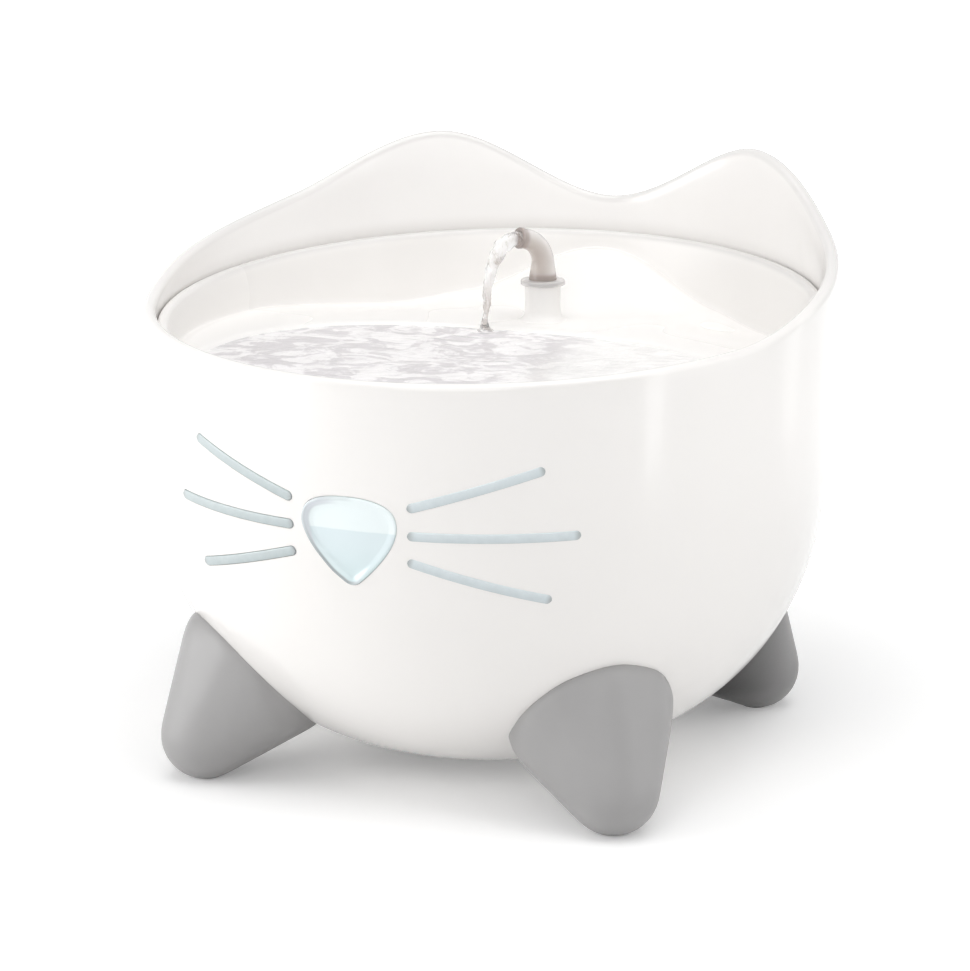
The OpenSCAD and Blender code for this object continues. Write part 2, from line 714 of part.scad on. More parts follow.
module pump_chamber() {
    color([0.86, 0.88, 0.90]) difference() {
        union() {
            translate([0, chamber_y, chamber_bottom_z])
                cylinder(r = chamber_r, h = chamber_top_z - chamber_bottom_z, $fn = fine);
            for (p = leg_places) translate([p[0], p[1], base_z + wall + eps])
                cylinder(r = 3.6, h = chamber_bottom_z - base_z - wall, $fn = round_fn);
        }
        translate([0, chamber_y, chamber_bottom_z + chamber_wall])
            cylinder(r = chamber_r - chamber_wall, h = 60, $fn = fine);
        for (p = leg_places) translate([p[0], p[1], 0])
            cylinder(r = pin_r + 0.3, h = pin_top_z + 1, $fn = round_fn);
        translate([-3, chamber_y - chamber_r - 1, chamber_top_z - 9]) cube([6, 5, 10]);
    }
}
module pump_body() {
    color(dark_grey) difference() {
        union() {
            translate([0, pump_front_y, pump_bottom_z])
                rounded_block(pump_half_w, volute_y[0] - pump_front_y + 1, pump_top_z - pump_bottom_z, 3);
            axis_cylinder(volute_r, volute_y[0], volute_y[1], fine);
            translate([0, spout_y, pump_axis_z])
                cylinder(r = outlet_r, h = outlet_top_z - pump_axis_z, $fn = round_fn);
        }
        translate([0, pump_front_y - 1, pump_bottom_z + 2]) difference() {
            translate([2 - pump_half_w, 0, 0])
                cube([2 * (pump_half_w - 2), volute_y[0] - pump_front_y - 3, pump_top_z - pump_bottom_z - 4]);
            translate([0, -pump_front_y + 1, -pump_bottom_z - 2])
                axis_cylinder(well_r + well_wall, 6, volute_y[0] + 2);
        }
        axis_cylinder(well_r, 8, volute_y[0] + 2);
        axis_cylinder(volute_r - 1.8, volute_y[0] + 1.6, volute_y[1] + 1, fine);
        translate([0, spout_y, pump_axis_z]) cylinder(r = 3.4, h = 60, $fn = round_fn);
        translate([0, 0, 50]) rotate([90, 0, 0]) translate([0, 0, -10])
            cylinder(r = 2.2, h = 12, $fn = round_fn);
        for (x = [-11, 11], y = [9, 31]) translate([x, y, pump_bottom_z - 1])
            cylinder(r = 1.6, h = 3, $fn = round_fn);
    }
}
module pump_back_plate() {
    color(dark_grey) translate([2 - pump_half_w + eps, pump_front_y, pump_bottom_z + 2 + eps])
        difference() {
        cube([2 * (pump_half_w - 2 - eps), 2, pump_top_z - pump_bottom_z - 4 - 2 * eps]);
        translate([pump_half_w - 2, -1, 50 - pump_bottom_z - 2]) rotate([-90, 0, 0])
            cylinder(r = 2.2, h = 5, $fn = round_fn);
    }
}
stator_y = [14, 28];
coil_z = pump_bottom_z + 2 + eps;
module pump_stator() {
    color("dimgray") difference() {
        union() {
            for (side = [-1, 1]) translate([side > 0 ? 8.5 : -14.8, stator_y[0], coil_z])
                cube([6.3, stator_y[1] - stator_y[0], 24]);
            translate([-14.8, stator_y[0], coil_z]) cube([29.6, stator_y[1] - stator_y[0], 2.6]);
            translate([-10, stator_y[0], 38]) cube([20, stator_y[1] - stator_y[0], 10]);
        }
        axis_cylinder(well_r + well_wall + eps, 0, 50);
    }
}
module pump_coil() {
    color("peru") translate([0, stator_y[0] - 3, coil_z + 2.65]) difference() {
        translate([-8.2, 0, 0]) cube([16.4, stator_y[1] - stator_y[0] + 6, 2.3]);
        translate([0, 0, -coil_z - 2.65 + eps]) translate([0, 3 - stator_y[0], 0])
            axis_cylinder(well_r + well_wall + eps, 0, 50);
    }
}
module pump_suction_cups() {
    color(dark_grey) for (x = [-11, 11], y = [9, 31]) translate([x, y, 0]) difference() {
        union() {
            translate([0, 0, chamber_bottom_z + chamber_wall + eps])
                cylinder(r1 = 5, r2 = 2.2, h = 4.9, $fn = round_fn);
            translate([0, 0, pump_bottom_z - 0.4]) cylinder(r = 1.55, h = 2.2, $fn = round_fn);
        }
        translate([0, 0, chamber_bottom_z + chamber_wall - 1])
            cylinder(r1 = 5, r2 = 1, h = 3.4, $fn = round_fn);
    }
}
module pump_cable_gland() {
    color(dark_grey) translate([0, 0, 50]) rotate([90, 0, 0]) difference() {
        union() {
            translate([0, 0, -4]) cylinder(r = 2.15, h = 8, $fn = round_fn);
            translate([0, 0, -pump_front_y + eps]) cylinder(r = 3.4, h = 4.5, $fn = round_fn);
        }
        translate([0, 0, -5]) cylinder(r = 1.4, h = 12, $fn = round_fn);
    }
}
module pump_cover() {
    cover_y = volute_y[1] + eps;
    color(dark_grey) difference() {
        union() {
            axis_cylinder(volute_r, cover_y, cover_y + 2.2, fine);
            axis_cylinder(volute_r - 1.9, volute_y[1] - 0.9, cover_y + 1, fine);
            axis_cylinder(3.6, cover_y, cover_y + 3.6);
        }
        axis_cylinder(volute_r - 3.4, volute_y[0], cover_y, fine);
        axis_cylinder(2.1, volute_y[0], cover_y + 2.6);
        translate([0, 0, pump_axis_z]) for (turn = [0 : 45 : 315]) rotate([0, turn, 0])
            translate([-1.2, volute_y[0], 4.4]) cube([2.4, 20, 6.6]);
    }
}
module pump_cover_bush() {
    color("black") difference() {
        axis_cylinder(2.05, volute_y[1] - 0.6, volute_y[1] + 2.5);
        axis_cylinder(shaft_r + 0.05, volute_y[0], volute_y[1] + 1.6);
    }
}
module impeller() {
    color("white") difference() {
        union() {
            axis_cylinder(3, rotor_y[0], impeller_y[1]);
            axis_cylinder(impeller_r - 2, impeller_y[0], impeller_y[0] + 1.2);
            translate([0, 0, pump_axis_z]) for (turn = [0 : 60 : 300]) rotate([0, turn, 0])
                translate([-0.7, impeller_y[0] + 0.4, 2.2]) cube([1.4, 7.6, impeller_r - 2.2]);
        }
        axis_cylinder(shaft_r + 0.05, 0, volute_y[1] + 9);
    }
}
module rotor_magnet() {
    color([0.30, 0.30, 0.32]) difference() {
        axis_cylinder(rotor_r, rotor_y[0], rotor_y[1]);
        axis_cylinder(3 + eps, 0, 60);
    }
}
module impeller_shaft() {
    color("ivory") axis_cylinder(shaft_r, 8.6, volute_y[1] + 1.2);
}
module shaft_bush() {
    color("black") difference() {
        axis_cylinder(well_r - eps, 8 + eps, 11.5);
        axis_cylinder(shaft_r + 0.02, 8.6 - eps, 60);
    }
}

// ---- assembly --------------------------------------------------------------------------------
tank_shell();
rotate(foot_angles[3]) foot();  // foot_front_left
rotate(foot_angles[0]) foot();  // foot_front_right
rotate(foot_angles[2]) foot();  // foot_rear_left
rotate(foot_angles[1]) foot();  // foot_rear_right
foot_screws();
foot_pads();
window(upper_window, -1);  // whisker_window_left_upper
window(middle_window, -1);  // whisker_window_left_middle
window(lower_window, -1);  // whisker_window_left_lower
window(upper_window, 1);  // whisker_window_right_upper
window(middle_window, 1);  // whisker_window_right_middle
window(lower_window, 1);  // whisker_window_right_lower
nose_lens();
nose_seal();
nose_light_cover();
nose_light_board();
nose_led();
cable_grommet();
drinking_dish();
riser_tube();
spout_collar();
spout_seal();
spout_nozzle();
filter_frame();
filter_carbon();
filter_foam();
filter_lid();
pump_chamber();
pump_body();
pump_back_plate();
pump_stator();
pump_coil();
pump_suction_cups();
pump_cable_gland();
pump_cover();
pump_cover_bush();
impeller();
rotor_magnet();
impeller_shaft();
shaft_bush();
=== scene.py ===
# %% [markdown]
# # A drinking fountain for cats
# A round white basin stands on four grey feet shaped like ears. A dish lies in its mouth, a small pump
# below the dish feeds a bent spout, and the water runs in an arc into a shallow pool. The model of the
# mechanism is loaded first. The cells below dress it, piece by piece, in the same place and size.

# %% Load the mechanism
import math

import bmesh
import bpy
from mathutils import Matrix, Vector, noise


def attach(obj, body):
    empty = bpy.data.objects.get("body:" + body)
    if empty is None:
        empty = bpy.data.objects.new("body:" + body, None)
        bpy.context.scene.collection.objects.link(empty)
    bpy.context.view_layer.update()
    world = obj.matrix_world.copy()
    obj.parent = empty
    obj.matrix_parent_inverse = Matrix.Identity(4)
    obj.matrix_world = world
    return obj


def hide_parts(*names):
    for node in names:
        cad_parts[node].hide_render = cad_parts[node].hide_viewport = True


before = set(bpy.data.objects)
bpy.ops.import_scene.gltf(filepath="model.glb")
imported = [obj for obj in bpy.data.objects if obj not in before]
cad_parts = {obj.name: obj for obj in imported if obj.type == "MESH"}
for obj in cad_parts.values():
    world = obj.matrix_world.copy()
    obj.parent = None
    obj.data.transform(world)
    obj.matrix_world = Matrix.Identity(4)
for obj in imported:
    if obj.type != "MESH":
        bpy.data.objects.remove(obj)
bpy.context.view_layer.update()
scene = bpy.context.scene
mm = 0.001

# %% [markdown]
# ## Camera
# A long lens looks slightly down at the fountain from its right-hand side. Setting the camera first means
# that every later piece can be judged in the picture. The lens is given for the width of the picture.

# %% Place the camera
camera = bpy.data.objects.new("studio_camera", bpy.data.cameras.new("studio_camera"))
scene.collection.objects.link(camera)
camera.data.sensor_fit = "HORIZONTAL"
camera.data.sensor_width = 36.0
camera.data.lens = 127.07
camera.location = (0.3997, -0.9611, 0.3425)
camera.rotation_euler = (math.radians(76.0), 0.0, math.radians(22.67))
scene.camera = camera
print("Camera at", tuple(round(c, 3) for c in camera.location))

# %% [markdown]
# ## Light
# White plastic shows its form only by soft changes of grey, so the room is one dim even light and six of
# the eight lamps are large panels: two above, one beside the camera, two low on the left and one on the
# right. The other two are narrow upright strips on the right, whose reflections run down the side of the
# basin.

# %% Room light and lamps
scene.view_settings.view_transform = "Standard"

def panel(name, place, target, width, height, watts):
    """A rectangular studio lamp that looks at a target and is itself out of sight."""
    lamp = bpy.data.objects.new(name, bpy.data.lights.new(name, "AREA"))
    lamp.data.shape = "RECTANGLE"
    lamp.data.size, lamp.data.size_y = width, height
    lamp.data.energy = watts
    scene.collection.objects.link(lamp)
    lamp.location = place
    lamp.rotation_euler = (Vector(target) - lamp.location).to_track_quat("-Z", "Y").to_euler()
    lamp.visible_camera = False

panel("top_panel", (0.05, -0.10, 1.15), (0, 0, 0.1), 1.1, 1.1, 9.1)
panel("top_right_panel", (0.85, -0.05, 0.85), (0, 0, 0.1), 0.7, 0.7, 1.4)
panel("front_panel", (0.25, -1.30, 0.75), (0, 0, 0.1), 0.9, 0.7, 4.7)
panel("left_panel", (-0.62, -0.42, 0.24), (0, 0, 0.08), 0.55, 0.58, 2.5)
panel("low_left_panel", (-0.55, -0.40, 0.10), (-0.05, -0.08, 0.04), 0.50, 0.16, 0.55)
panel("right_panel", (0.80, 0.05, 0.30), (0, 0, 0.08), 0.55, 0.58, 1.0)
panel("right_strip", (0.377, -0.134, 0.20), (0, 0, 0.10), 0.04, 0.40, 0.10)
panel("far_right_strip", (0.335, 0.253, 0.20), (0, 0, 0.10), 0.07, 0.40, 0.06)

# %% [markdown]
# ## How the finishes are written
# A finish is a small network of shader nodes. Two helpers keep it readable: `Number` is a value that
# changes over the surface and understands plus, minus, times and power, and `Finish.node` adds any other
# node from its type, its settings and its sockets. `Finish.attribute` reads a value that was stored at the
# points of a mesh while it was shaped, such as the distance from an edge.

# %% Helpers for finishes
class Number:
    """A value that varies over a surface; maths on it adds Math nodes."""

    def __init__(self, finish, socket):
        self.finish, self.socket = finish, socket

    def join(self, operation, first, second):
        made = self.finish.node("ShaderNodeMath", {"operation": operation}, {0: first, 1: second})
        return Number(self.finish, made.outputs[0])

    def __add__(self, other): return self.join("ADD", self, other)
    def __radd__(self, other): return self.join("ADD", other, self)
    def __sub__(self, other): return self.join("SUBTRACT", self, other)
    def __rsub__(self, other): return self.join("SUBTRACT", other, self)
    def __mul__(self, other): return self.join("MULTIPLY", self, other)
    def __rmul__(self, other): return self.join("MULTIPLY", other, self)
    def __pow__(self, other): return self.join("POWER", self, other)
    def at_least(self, other): return self.join("MAXIMUM", self, other)
    def at_most(self, other): return self.join("MINIMUM", self, other)
    def sine(self): return self.join("SINE", self, 0.0)
    def size(self): return self.join("ABSOLUTE", self, 0.0)

    def ramp(self, low, high, to_low=0.0, to_high=1.0, steps="SMOOTHSTEP"):
        """Rise smoothly from to_low to to_high as the value goes from low to high."""
        made = self.finish.node("ShaderNodeMapRange", {"interpolation_type": steps},
                                {0: self, 1: low, 2: high, 3: to_low, 4: to_high})
        return Number(self.finish, made.outputs[0])


class Finish:
    """One procedural material, under its slot's or its piece's name."""

    def __init__(self, name):
        self.material = bpy.data.materials.new(name)
        self.material.use_nodes = True
        self.nodes, self.links = self.material.node_tree.nodes, self.material.node_tree.links
        self.nodes.clear()

    def node(self, kind, settings=None, sockets=None):
        made = self.nodes.new(kind)
        for key, value in (settings or {}).items():
            setattr(made, key, value)
        for key, value in (sockets or {}).items():
            if isinstance(value, Number):
                self.links.new(value.socket, made.inputs[key])
            elif isinstance(value, bpy.types.NodeSocket):
                self.links.new(value, made.inputs[key])
            else:
                made.inputs[key].default_value = value
        return made

    def place(self):
        """Object coordinates, in metres."""
        return self.node("ShaderNodeTexCoord").outputs["Object"]

    def axis(self, letter):
        split = self.node("ShaderNodeSeparateXYZ", sockets={0: self.place()})
        return Number(self, split.outputs[letter])

    def attribute(self, name):
        """A value stored at the points of the mesh."""
        return Number(self, self.node("ShaderNodeAttribute", {"attribute_name": name}).outputs["Fac"])

    def away_from(self, point):
        """Distance from a point, in metres."""
        made = self.node("ShaderNodeVectorMath", {"operation": "DISTANCE"}, {0: self.place(), 1: point})
        return Number(self, made.outputs["Value"])

    def from_axis(self):
        """Distance from the upright axis of the fountain, in metres."""
        return (self.axis("X") ** 2 + self.axis("Y") ** 2) ** 0.5

    def cloud(self, scale, detail=3.0, roughness=0.5, distortion=0.0, stretch=(1, 1, 1)):
        """Soft noise between 0 and 1; scale is in blobs per metre."""
        where = self.node("ShaderNodeMapping", sockets={"Vector": self.place(), "Scale": stretch})
        made = self.node("ShaderNodeTexNoise", sockets={
            "Vector": where.outputs[0], "Scale": scale, "Detail": detail, "Roughness": roughness,
            "Distortion": distortion})
        return Number(self, made.outputs[0])

    def cells(self, scale):
        """Distance from the nearest of many scattered points."""
        made = self.node("ShaderNodeTexVoronoi", sockets={"Vector": self.place(), "Scale": scale})
        return Number(self, made.outputs["Distance"])

    def between(self, mask, dark, light):
        """Colour that goes from dark to light where the mask goes from 0 to 1."""
        made = self.node("ShaderNodeMix", {"data_type": "RGBA"},
                         {0: mask, 6: self.colour(dark), 7: self.colour(light)})
        return made.outputs[2]

    def colour(self, value):
        return (*value, 1.0) if isinstance(value, tuple) and len(value) == 3 else value

    def relief(self, height, distance, strength=1.0):
        """Small bumps; distance is in metres."""
        made = self.node("ShaderNodeBump", sockets={
            "Height": height, "Distance": distance, "Strength": strength})
        return made.outputs[0]

    def plastic(self, base, rough, bump=None, **constants):
        """The main shader; constants are named as its sockets are, with _ for a space."""
        sockets = {"Base Color": self.colour(base), "Roughness": rough}
        if bump is not None:
            sockets["Normal"] = bump
        sockets.update({key.replace("_", " "): value for key, value in constants.items()})
        return self.node("ShaderNodeBsdfPrincipled", sockets=sockets).outputs[0]

    def done(self, shader):
        self.node("ShaderNodeOutputMaterial", sockets={"Surface": shader})
        print("Finish", self.material.name, "has", len(self.nodes), "nodes")
        return self.material

# %% [markdown]
# ## Floor and background
# The floor is a plain pale sheet. To the camera it glows a little, and more so further out, so that it
# joins the white background, but it still takes the soft shadow of the fountain. `as_object` turns a
# bmesh into an object, and every later piece goes through it too.

# %% Floor and background
ROOM_LIGHT = 0.10
world = bpy.data.worlds.new("pale_room")
scene.world = world
world.use_nodes = True
world_nodes, world_links = world.node_tree.nodes, world.node_tree.links
room = world_nodes["Background"]
room.inputs["Color"].default_value = (1.0, 1.0, 1.0, 1.0)
path = world_nodes.new("ShaderNodeLightPath").outputs
direct = path["Is Camera Ray"]
for kind in ("Is Glossy Ray", "Is Transmission Ray"):
    either = world_nodes.new("ShaderNodeMath")
    either.operation = "MAXIMUM"
    world_links.new(direct, either.inputs[0])
    world_links.new(path[kind], either.inputs[1])
    direct = either.outputs[0]
level = world_nodes.new("ShaderNodeMapRange")
world_links.new(direct, level.inputs[0])
level.inputs[3].default_value = ROOM_LIGHT
level.inputs[4].default_value = 1.0
world_links.new(level.outputs[0], room.inputs["Strength"])

floor_finish = Finish("studio_floor")
speckle = floor_finish.cloud(60.0, 2.0)
sheet = floor_finish.plastic(floor_finish.between(speckle, (0.90, 0.90, 0.90), (0.93, 0.93, 0.93)), 0.7)
floor_rays = floor_finish.node("ShaderNodeLightPath").outputs
camera_ray, glossy_ray, transmission_ray = (
    Number(floor_finish, floor_rays[f"Is {kind} Ray"]) for kind in ("Camera", "Glossy", "Transmission"))
direct_ray = (camera_ray + glossy_ray + transmission_ray).at_most(1.0)
further_out = floor_finish.away_from((0.0, 0.0, 0.0)).ramp(0.10, 0.60, 0.20, 1.0)
glow = floor_finish.node("ShaderNodeEmission", sockets={
    "Color": (1.0, 1.0, 1.0, 1.0), "Strength": direct_ray * further_out}).outputs[0]
both = floor_finish.node("ShaderNodeAddShader", sockets={0: sheet, 1: glow}).outputs[0]

def as_object(bm, name, material=None):
    """Turn a bmesh into an object of the scene."""
    mesh = bpy.data.meshes.new(name)
    bm.to_mesh(mesh)
    bm.free()
    if material:
        mesh.materials.append(material)
    obj = bpy.data.objects.new(name, mesh)
    scene.collection.objects.link(obj)
    return obj

floor_sheet = bmesh.new()
bmesh.ops.create_grid(floor_sheet, x_segments=1, y_segments=1, size=4.0)
studio_floor = as_object(floor_sheet, "studio_floor", floor_finish.done(both))
print("Floor is", [round(d, 1) for d in studio_floor.dimensions], "m")

# %% [markdown]
# ## Finish of the moulded plastics
# The basin is injection-moulded in glossy white. Such a skin is never quite flat: it has a faint waviness,
# and its gloss changes a little from place to place. The dish is the same white with less gloss. Some
# places get painted light or shade: the inside of the ears and the deck are painted paler, and the top of
# the lip and the rim of the dish darker. The feet are satin grey with a fine spark-eroded grain and a little
# paler near the floor, and the rear pair has painted shade: darker all over, and darker still towards the
# front, where the basin keeps the light off.

# %% White and grey plastics
def glossy_white(name, painted_shading, base=(0.885, 0.866, 0.846), rough=(0.16, 0.24), coat=0.35):
    """Glossy white; the function given second paints light and shade into its colour in places."""
    finish = Finish(name)
    drift = finish.cloud(9.0, 2.0)
    skin = finish.cloud(160.0, 2.0, 0.4)
    pale = tuple(min(1.0, c * 1.012) for c in base)
    return finish.done(finish.plastic(
        painted_shading(finish, finish.between(drift.ramp(0.3, 0.7), base, pale)),
        drift.ramp(0.3, 0.7, rough[0], rough[1]),
        finish.relief(skin, 0.00002, 0.35),
        IOR=1.46, Coat_Roughness=0.06, Coat_Weight=coat))

SEAM_SLOPE, SEAM_HEIGHT = 0.0727, 0.1405

def basin_painted_shading(finish, plain):
    """Painted light and shade: the inner side of the ears is painted a little paler, more so on the left,
    and the top of their lip a little darker at the back.
    """
    back = finish.axis("Y").ramp(-0.02, 0.05)
    above = (finish.axis("Z") - finish.axis("Y") * SEAM_SLOPE - SEAM_HEIGHT).ramp(0.000, 0.005)
    inside = finish.from_axis().ramp(0.1045, 0.1055, 1.0, 0.0)
    left = finish.axis("X").ramp(-0.03, 0.06, 1.0, 0.45)
    # Painted light: the inner side of the ears is paler, more so on the left.
    paler = finish.between(above * inside * back * left, plain, (0.960, 0.945, 0.930))
    # Painted shade: the top of the lip is darker at the back.
    lip_top_painted_shade = finish.attribute("below_lip").ramp(0.8, 2.8, 1.0, 0.0)
    return finish.between(lip_top_painted_shade * back, paler, (0.770, 0.755, 0.740))

def dish_painted_shading(finish, plain):
    """Painted light and shade: the deck is painted a little paler than the side, and the top of the rim a
    little darker at the back.
    """
    radius = finish.from_axis()
    # Painted light: the deck is paler than the side.
    side = finish.between(radius.ramp(0.0935, 0.0950), (0.915, 0.900, 0.882), plain)
    # Painted shade: the top of the rim is darker at the back.
    rim = radius.ramp(0.0988, 0.0995) * finish.axis("Y").ramp(-0.04, 0.03)
    return finish.between(rim, side, (0.750, 0.735, 0.720))

def satin_grey(name, base=(0.335, 0.330, 0.330)):
    def times(factor):
        return tuple(c * factor for c in base)

    finish = Finish(name)
    grain = finish.cloud(2600.0, 2.0, 0.6)
    drift = finish.cloud(24.0, 3.0)
    # The feet are a little paler over their lowest 12 mm.
    paler_near_floor = finish.axis("Z").ramp(0.000, 0.012, 1.0, 0.0)
    plain = finish.between(drift.ramp(0.25, 0.75), base, times(1.10))
    # Painted shade: the rear feet are darker all over, and darker still on their forward side near the
    # basin, where it keeps the light off.
    inner = finish.from_axis().ramp(0.0790, 0.1010, 1.0, 0.0, "LINEAR")
    forward = (finish.axis("X").size() - finish.axis("Y")).ramp(0.000, 0.014)
    rear_painted_shade = finish.between(inner * forward, times(0.80), times(0.10))
    painted_shading = finish.between(finish.axis("Y").ramp(0.0, 0.05), plain, rear_painted_shade)
    return finish.done(finish.plastic(
        finish.between(paler_near_floor * 0.35, painted_shading, times(1.22)),
        grain.ramp(0.3, 0.7, 0.40, 0.50),
        finish.relief(grain, 0.00006, 0.25), IOR=1.48))

basin_white = glossy_white("basin_gloss", basin_painted_shading)
dish_white = glossy_white("dish_satin", dish_painted_shading, (0.868, 0.850, 0.830), rough=(0.24, 0.32), coat=0.0)
foot_grey = satin_grey("foot_plastic")

# %% [markdown]
# ## Measures shared by the basin and the dish
# The side of the basin is one smooth curve, the lip lies in a slightly tilted plane and rises into two
# peaks at the back, and the rim of the dish lies in the same tilted plane. Each is a short function, so
# that all the pieces that meet there agree. They work in millimetres, as all shapes below do.

# %% Curves of the basin
TILT = math.tan(math.radians(4.16))
SOLE_R, BASIN_R, LIP_R, RECESS_R, LEDGE_R = 35.0, 107.0, 105.0, 103.0, 100.6
WALL = 2.6
UNDERSIDE, FLOOR = 6.0, 8.6
RIM_Z = 140.26  # rim of the dish at the middle of the fountain
LEDGE_TOP, LEDGE_LOW = RIM_Z - 3.0, RIM_Z - 6.0
LIP_Z = 150.0  # top of the lip while the basin is still level
LOWEST_LIP = 145.6
SCREW_R = 84.0  # distance of the screws of the feet from the axis
PILLAR_Y = 44.0
SPOUT_WAY = (-0.5299, -0.8480)  # where the spout points, seen from above

def side_radius(z):
    """Outer radius of the basin at a height."""
    down = min(max((LIP_Z - z) / (LIP_Z - UNDERSIDE), 0.0), 1.0)
    return SOLE_R + (BASIN_R - SOLE_R) * (1.0 - down ** 3.9) ** (1 / 1.54)

def rim_height(y):
    """Height of the tilted plane that the rim of the dish lies in."""
    return RIM_Z + y * TILT

def through(knots, x):
    """Smooth curve through (place, value, slope) knots."""
    for (x0, v0, s0), (x1, v1, s1) in zip(knots, knots[1:]):
        if x <= x1:
            w = x1 - x0
            u = (x - x0) / w
            return (v0 * (2 * u**3 - 3 * u**2 + 1) + w * s0 * (u**3 - 2 * u**2 + u)
                    + v1 * (3 * u**2 - 2 * u**3) + w * s1 * (u**3 - u**2))
    return knots[-1][1]

# Rise of the lip: degrees from the back, height, slope
EARS = [(0, 6, 0), (32.5, 28, 0), (60, 13, -0.40), (90, 5, -0.23), (115, 0, 0), (180, 0, 0)]

def lip_height(x, y):
    """Height of the lip in the direction of a point."""
    from_back = math.degrees(abs(math.atan2(x, y)))
    tilted = LIP_R * TILT * math.cos(math.radians(from_back))
    return LOWEST_LIP + tilted + through(EARS, from_back)

print("Lip: front", round(lip_height(0, -1), 1), "back", round(lip_height(0, 1), 1),
      "peak", round(lip_height(math.sin(0.567), math.cos(0.567)), 1))

# %% [markdown]
# ## Turning and keeping pieces
# Most of the fountain is round, so most pieces start as a half section that is spun about an axis. A
# corner of a section is rounded with a vertex bevel while it is still a wire. `keep` turns the finished
# bmesh into an object in metres, shades it, and hangs it on the body that it moves with. The other helpers
# take up what most shapes need: `pull_edge` draws an open edge out into a skirt, `close` fills what is
# open, and `carve` cuts one shape with another.

# %% Turn a section, keep a piece
def section(corners):
    """A wire through (radius, height, rounding) corners in a new bmesh."""
    bm = bmesh.new()
    verts = [bm.verts.new((c[0], 0.0, c[1])) for c in corners]
    for a, b in zip(verts, verts[1:]):
        bm.edges.new((a, b))
    for vert, corner in zip(verts, corners):
        if len(corner) > 2:
            bmesh.ops.bevel(bm, geom=[vert], offset=corner[2], offset_type="OFFSET", segments=5,
                            profile=0.5, affect="VERTICES", material=-1)
    return bm

def turn(bm, steps, centre=(0, 0, 0), axis=(0, 0, 1)):
    """Spin the whole wire into a closed skin."""
    bmesh.ops.spin(bm, geom=bm.verts[:] + bm.edges[:], cent=centre, axis=axis,
                   angle=2 * math.pi, steps=steps, use_merge=True)
    bmesh.ops.remove_doubles(bm, verts=bm.verts, dist=0.0005)
    bmesh.ops.recalc_face_normals(bm, faces=bm.faces)
    return bm

def keep(name, bm, material, body, replaced=(), sharp=32.0):
    """Finish a piece: metres, smooth shading, material, body and slot."""
    bmesh.ops.scale(bm, vec=(mm, mm, mm), verts=bm.verts)
    piece = as_object(bm, name, material)
    mesh = piece.data
    mesh.polygons.foreach_set("use_smooth", [True] * len(mesh.polygons))
    mesh.set_sharp_from_angle(angle=math.radians(sharp))
    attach(piece, body)
    if replaced:
        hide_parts(*replaced)
    print(name, "has", len(mesh.polygons), "faces")

# %% Close, cut and join shapes
def open_edges(bm):
    return [e for e in bm.edges if e.is_boundary]

def new_points(made):
    """The points among what an operator made."""
    return [g for g in made["geom"] if isinstance(g, bmesh.types.BMVert)]

def pull_edge(bm, way):
    """Draw the open edge out into a skirt."""
    skirt = bmesh.ops.extrude_edge_only(bm, edges=open_edges(bm))
    bmesh.ops.translate(bm, verts=new_points(skirt), vec=way)

def close(bm):
    bmesh.ops.holes_fill(bm, edges=open_edges(bm), sides=0)
    bmesh.ops.recalc_face_normals(bm, faces=bm.faces)

def prism(outline, near, far):
    """Solid block with an outline of (x, z) points, between two values of Y."""
    bm = bmesh.new()
    face = bm.faces.new([bm.verts.new((x, near, z)) for x, z in outline])
    pulled = bmesh.ops.extrude_face_region(bm, geom=[face], use_keep_orig=True)
    bmesh.ops.translate(bm, verts=new_points(pulled), vec=(0, far - near, 0))
    bmesh.ops.recalc_face_normals(bm, faces=bm.faces)
    return bm

def as_bmesh(*objects):
    """The final mesh of the first object as a bmesh; all the objects are used up."""
    result = bmesh.new()
    result.from_mesh(objects[0].evaluated_get(bpy.context.evaluated_depsgraph_get()).to_mesh())
    for obj in objects:
        mesh = obj.data
        bpy.data.objects.remove(obj)
        bpy.data.meshes.remove(mesh)
    return result

def carve(bm, cutter, operation="DIFFERENCE"):
    """Take one closed bmesh out of another, or keep what both share."""
    blank, tool = as_object(bm, "blank"), as_object(cutter, "tool")
    cut = blank.modifiers.new("cut", "BOOLEAN")
    cut.operation, cut.solver, cut.object = operation, "EXACT", tool
    return as_bmesh(blank, tool)

def join_in(bm, extra):
    """Put a second bmesh into the first."""
    mesh = bpy.data.meshes.new("extra")
    extra.to_mesh(mesh)
    extra.free()
    bm.from_mesh(mesh)
    bpy.data.meshes.remove(mesh)

# %% [markdown]
# ## The windows, flat
# Six narrow windows let the owner see the water level. Each is a bar with round ends. It is easiest to
# shape it flat, as a grid whose ends are drawn into half circles and whose edge is folded down, and then
# to wrap it onto the basin. The same flat bar, a little larger, is the cutter for its slot.

# %% A flat bar and a wrap
# Angle and height of each window's inner end, then of its outer end
WINDOWS = {
    "upper": (10.5, 102.2, 30.2, 113.3),
    "middle": (10.5, 93.8, 35.9, 94.1),
    "lower": (10.4, 85.6, 31.6, 75.0),
}

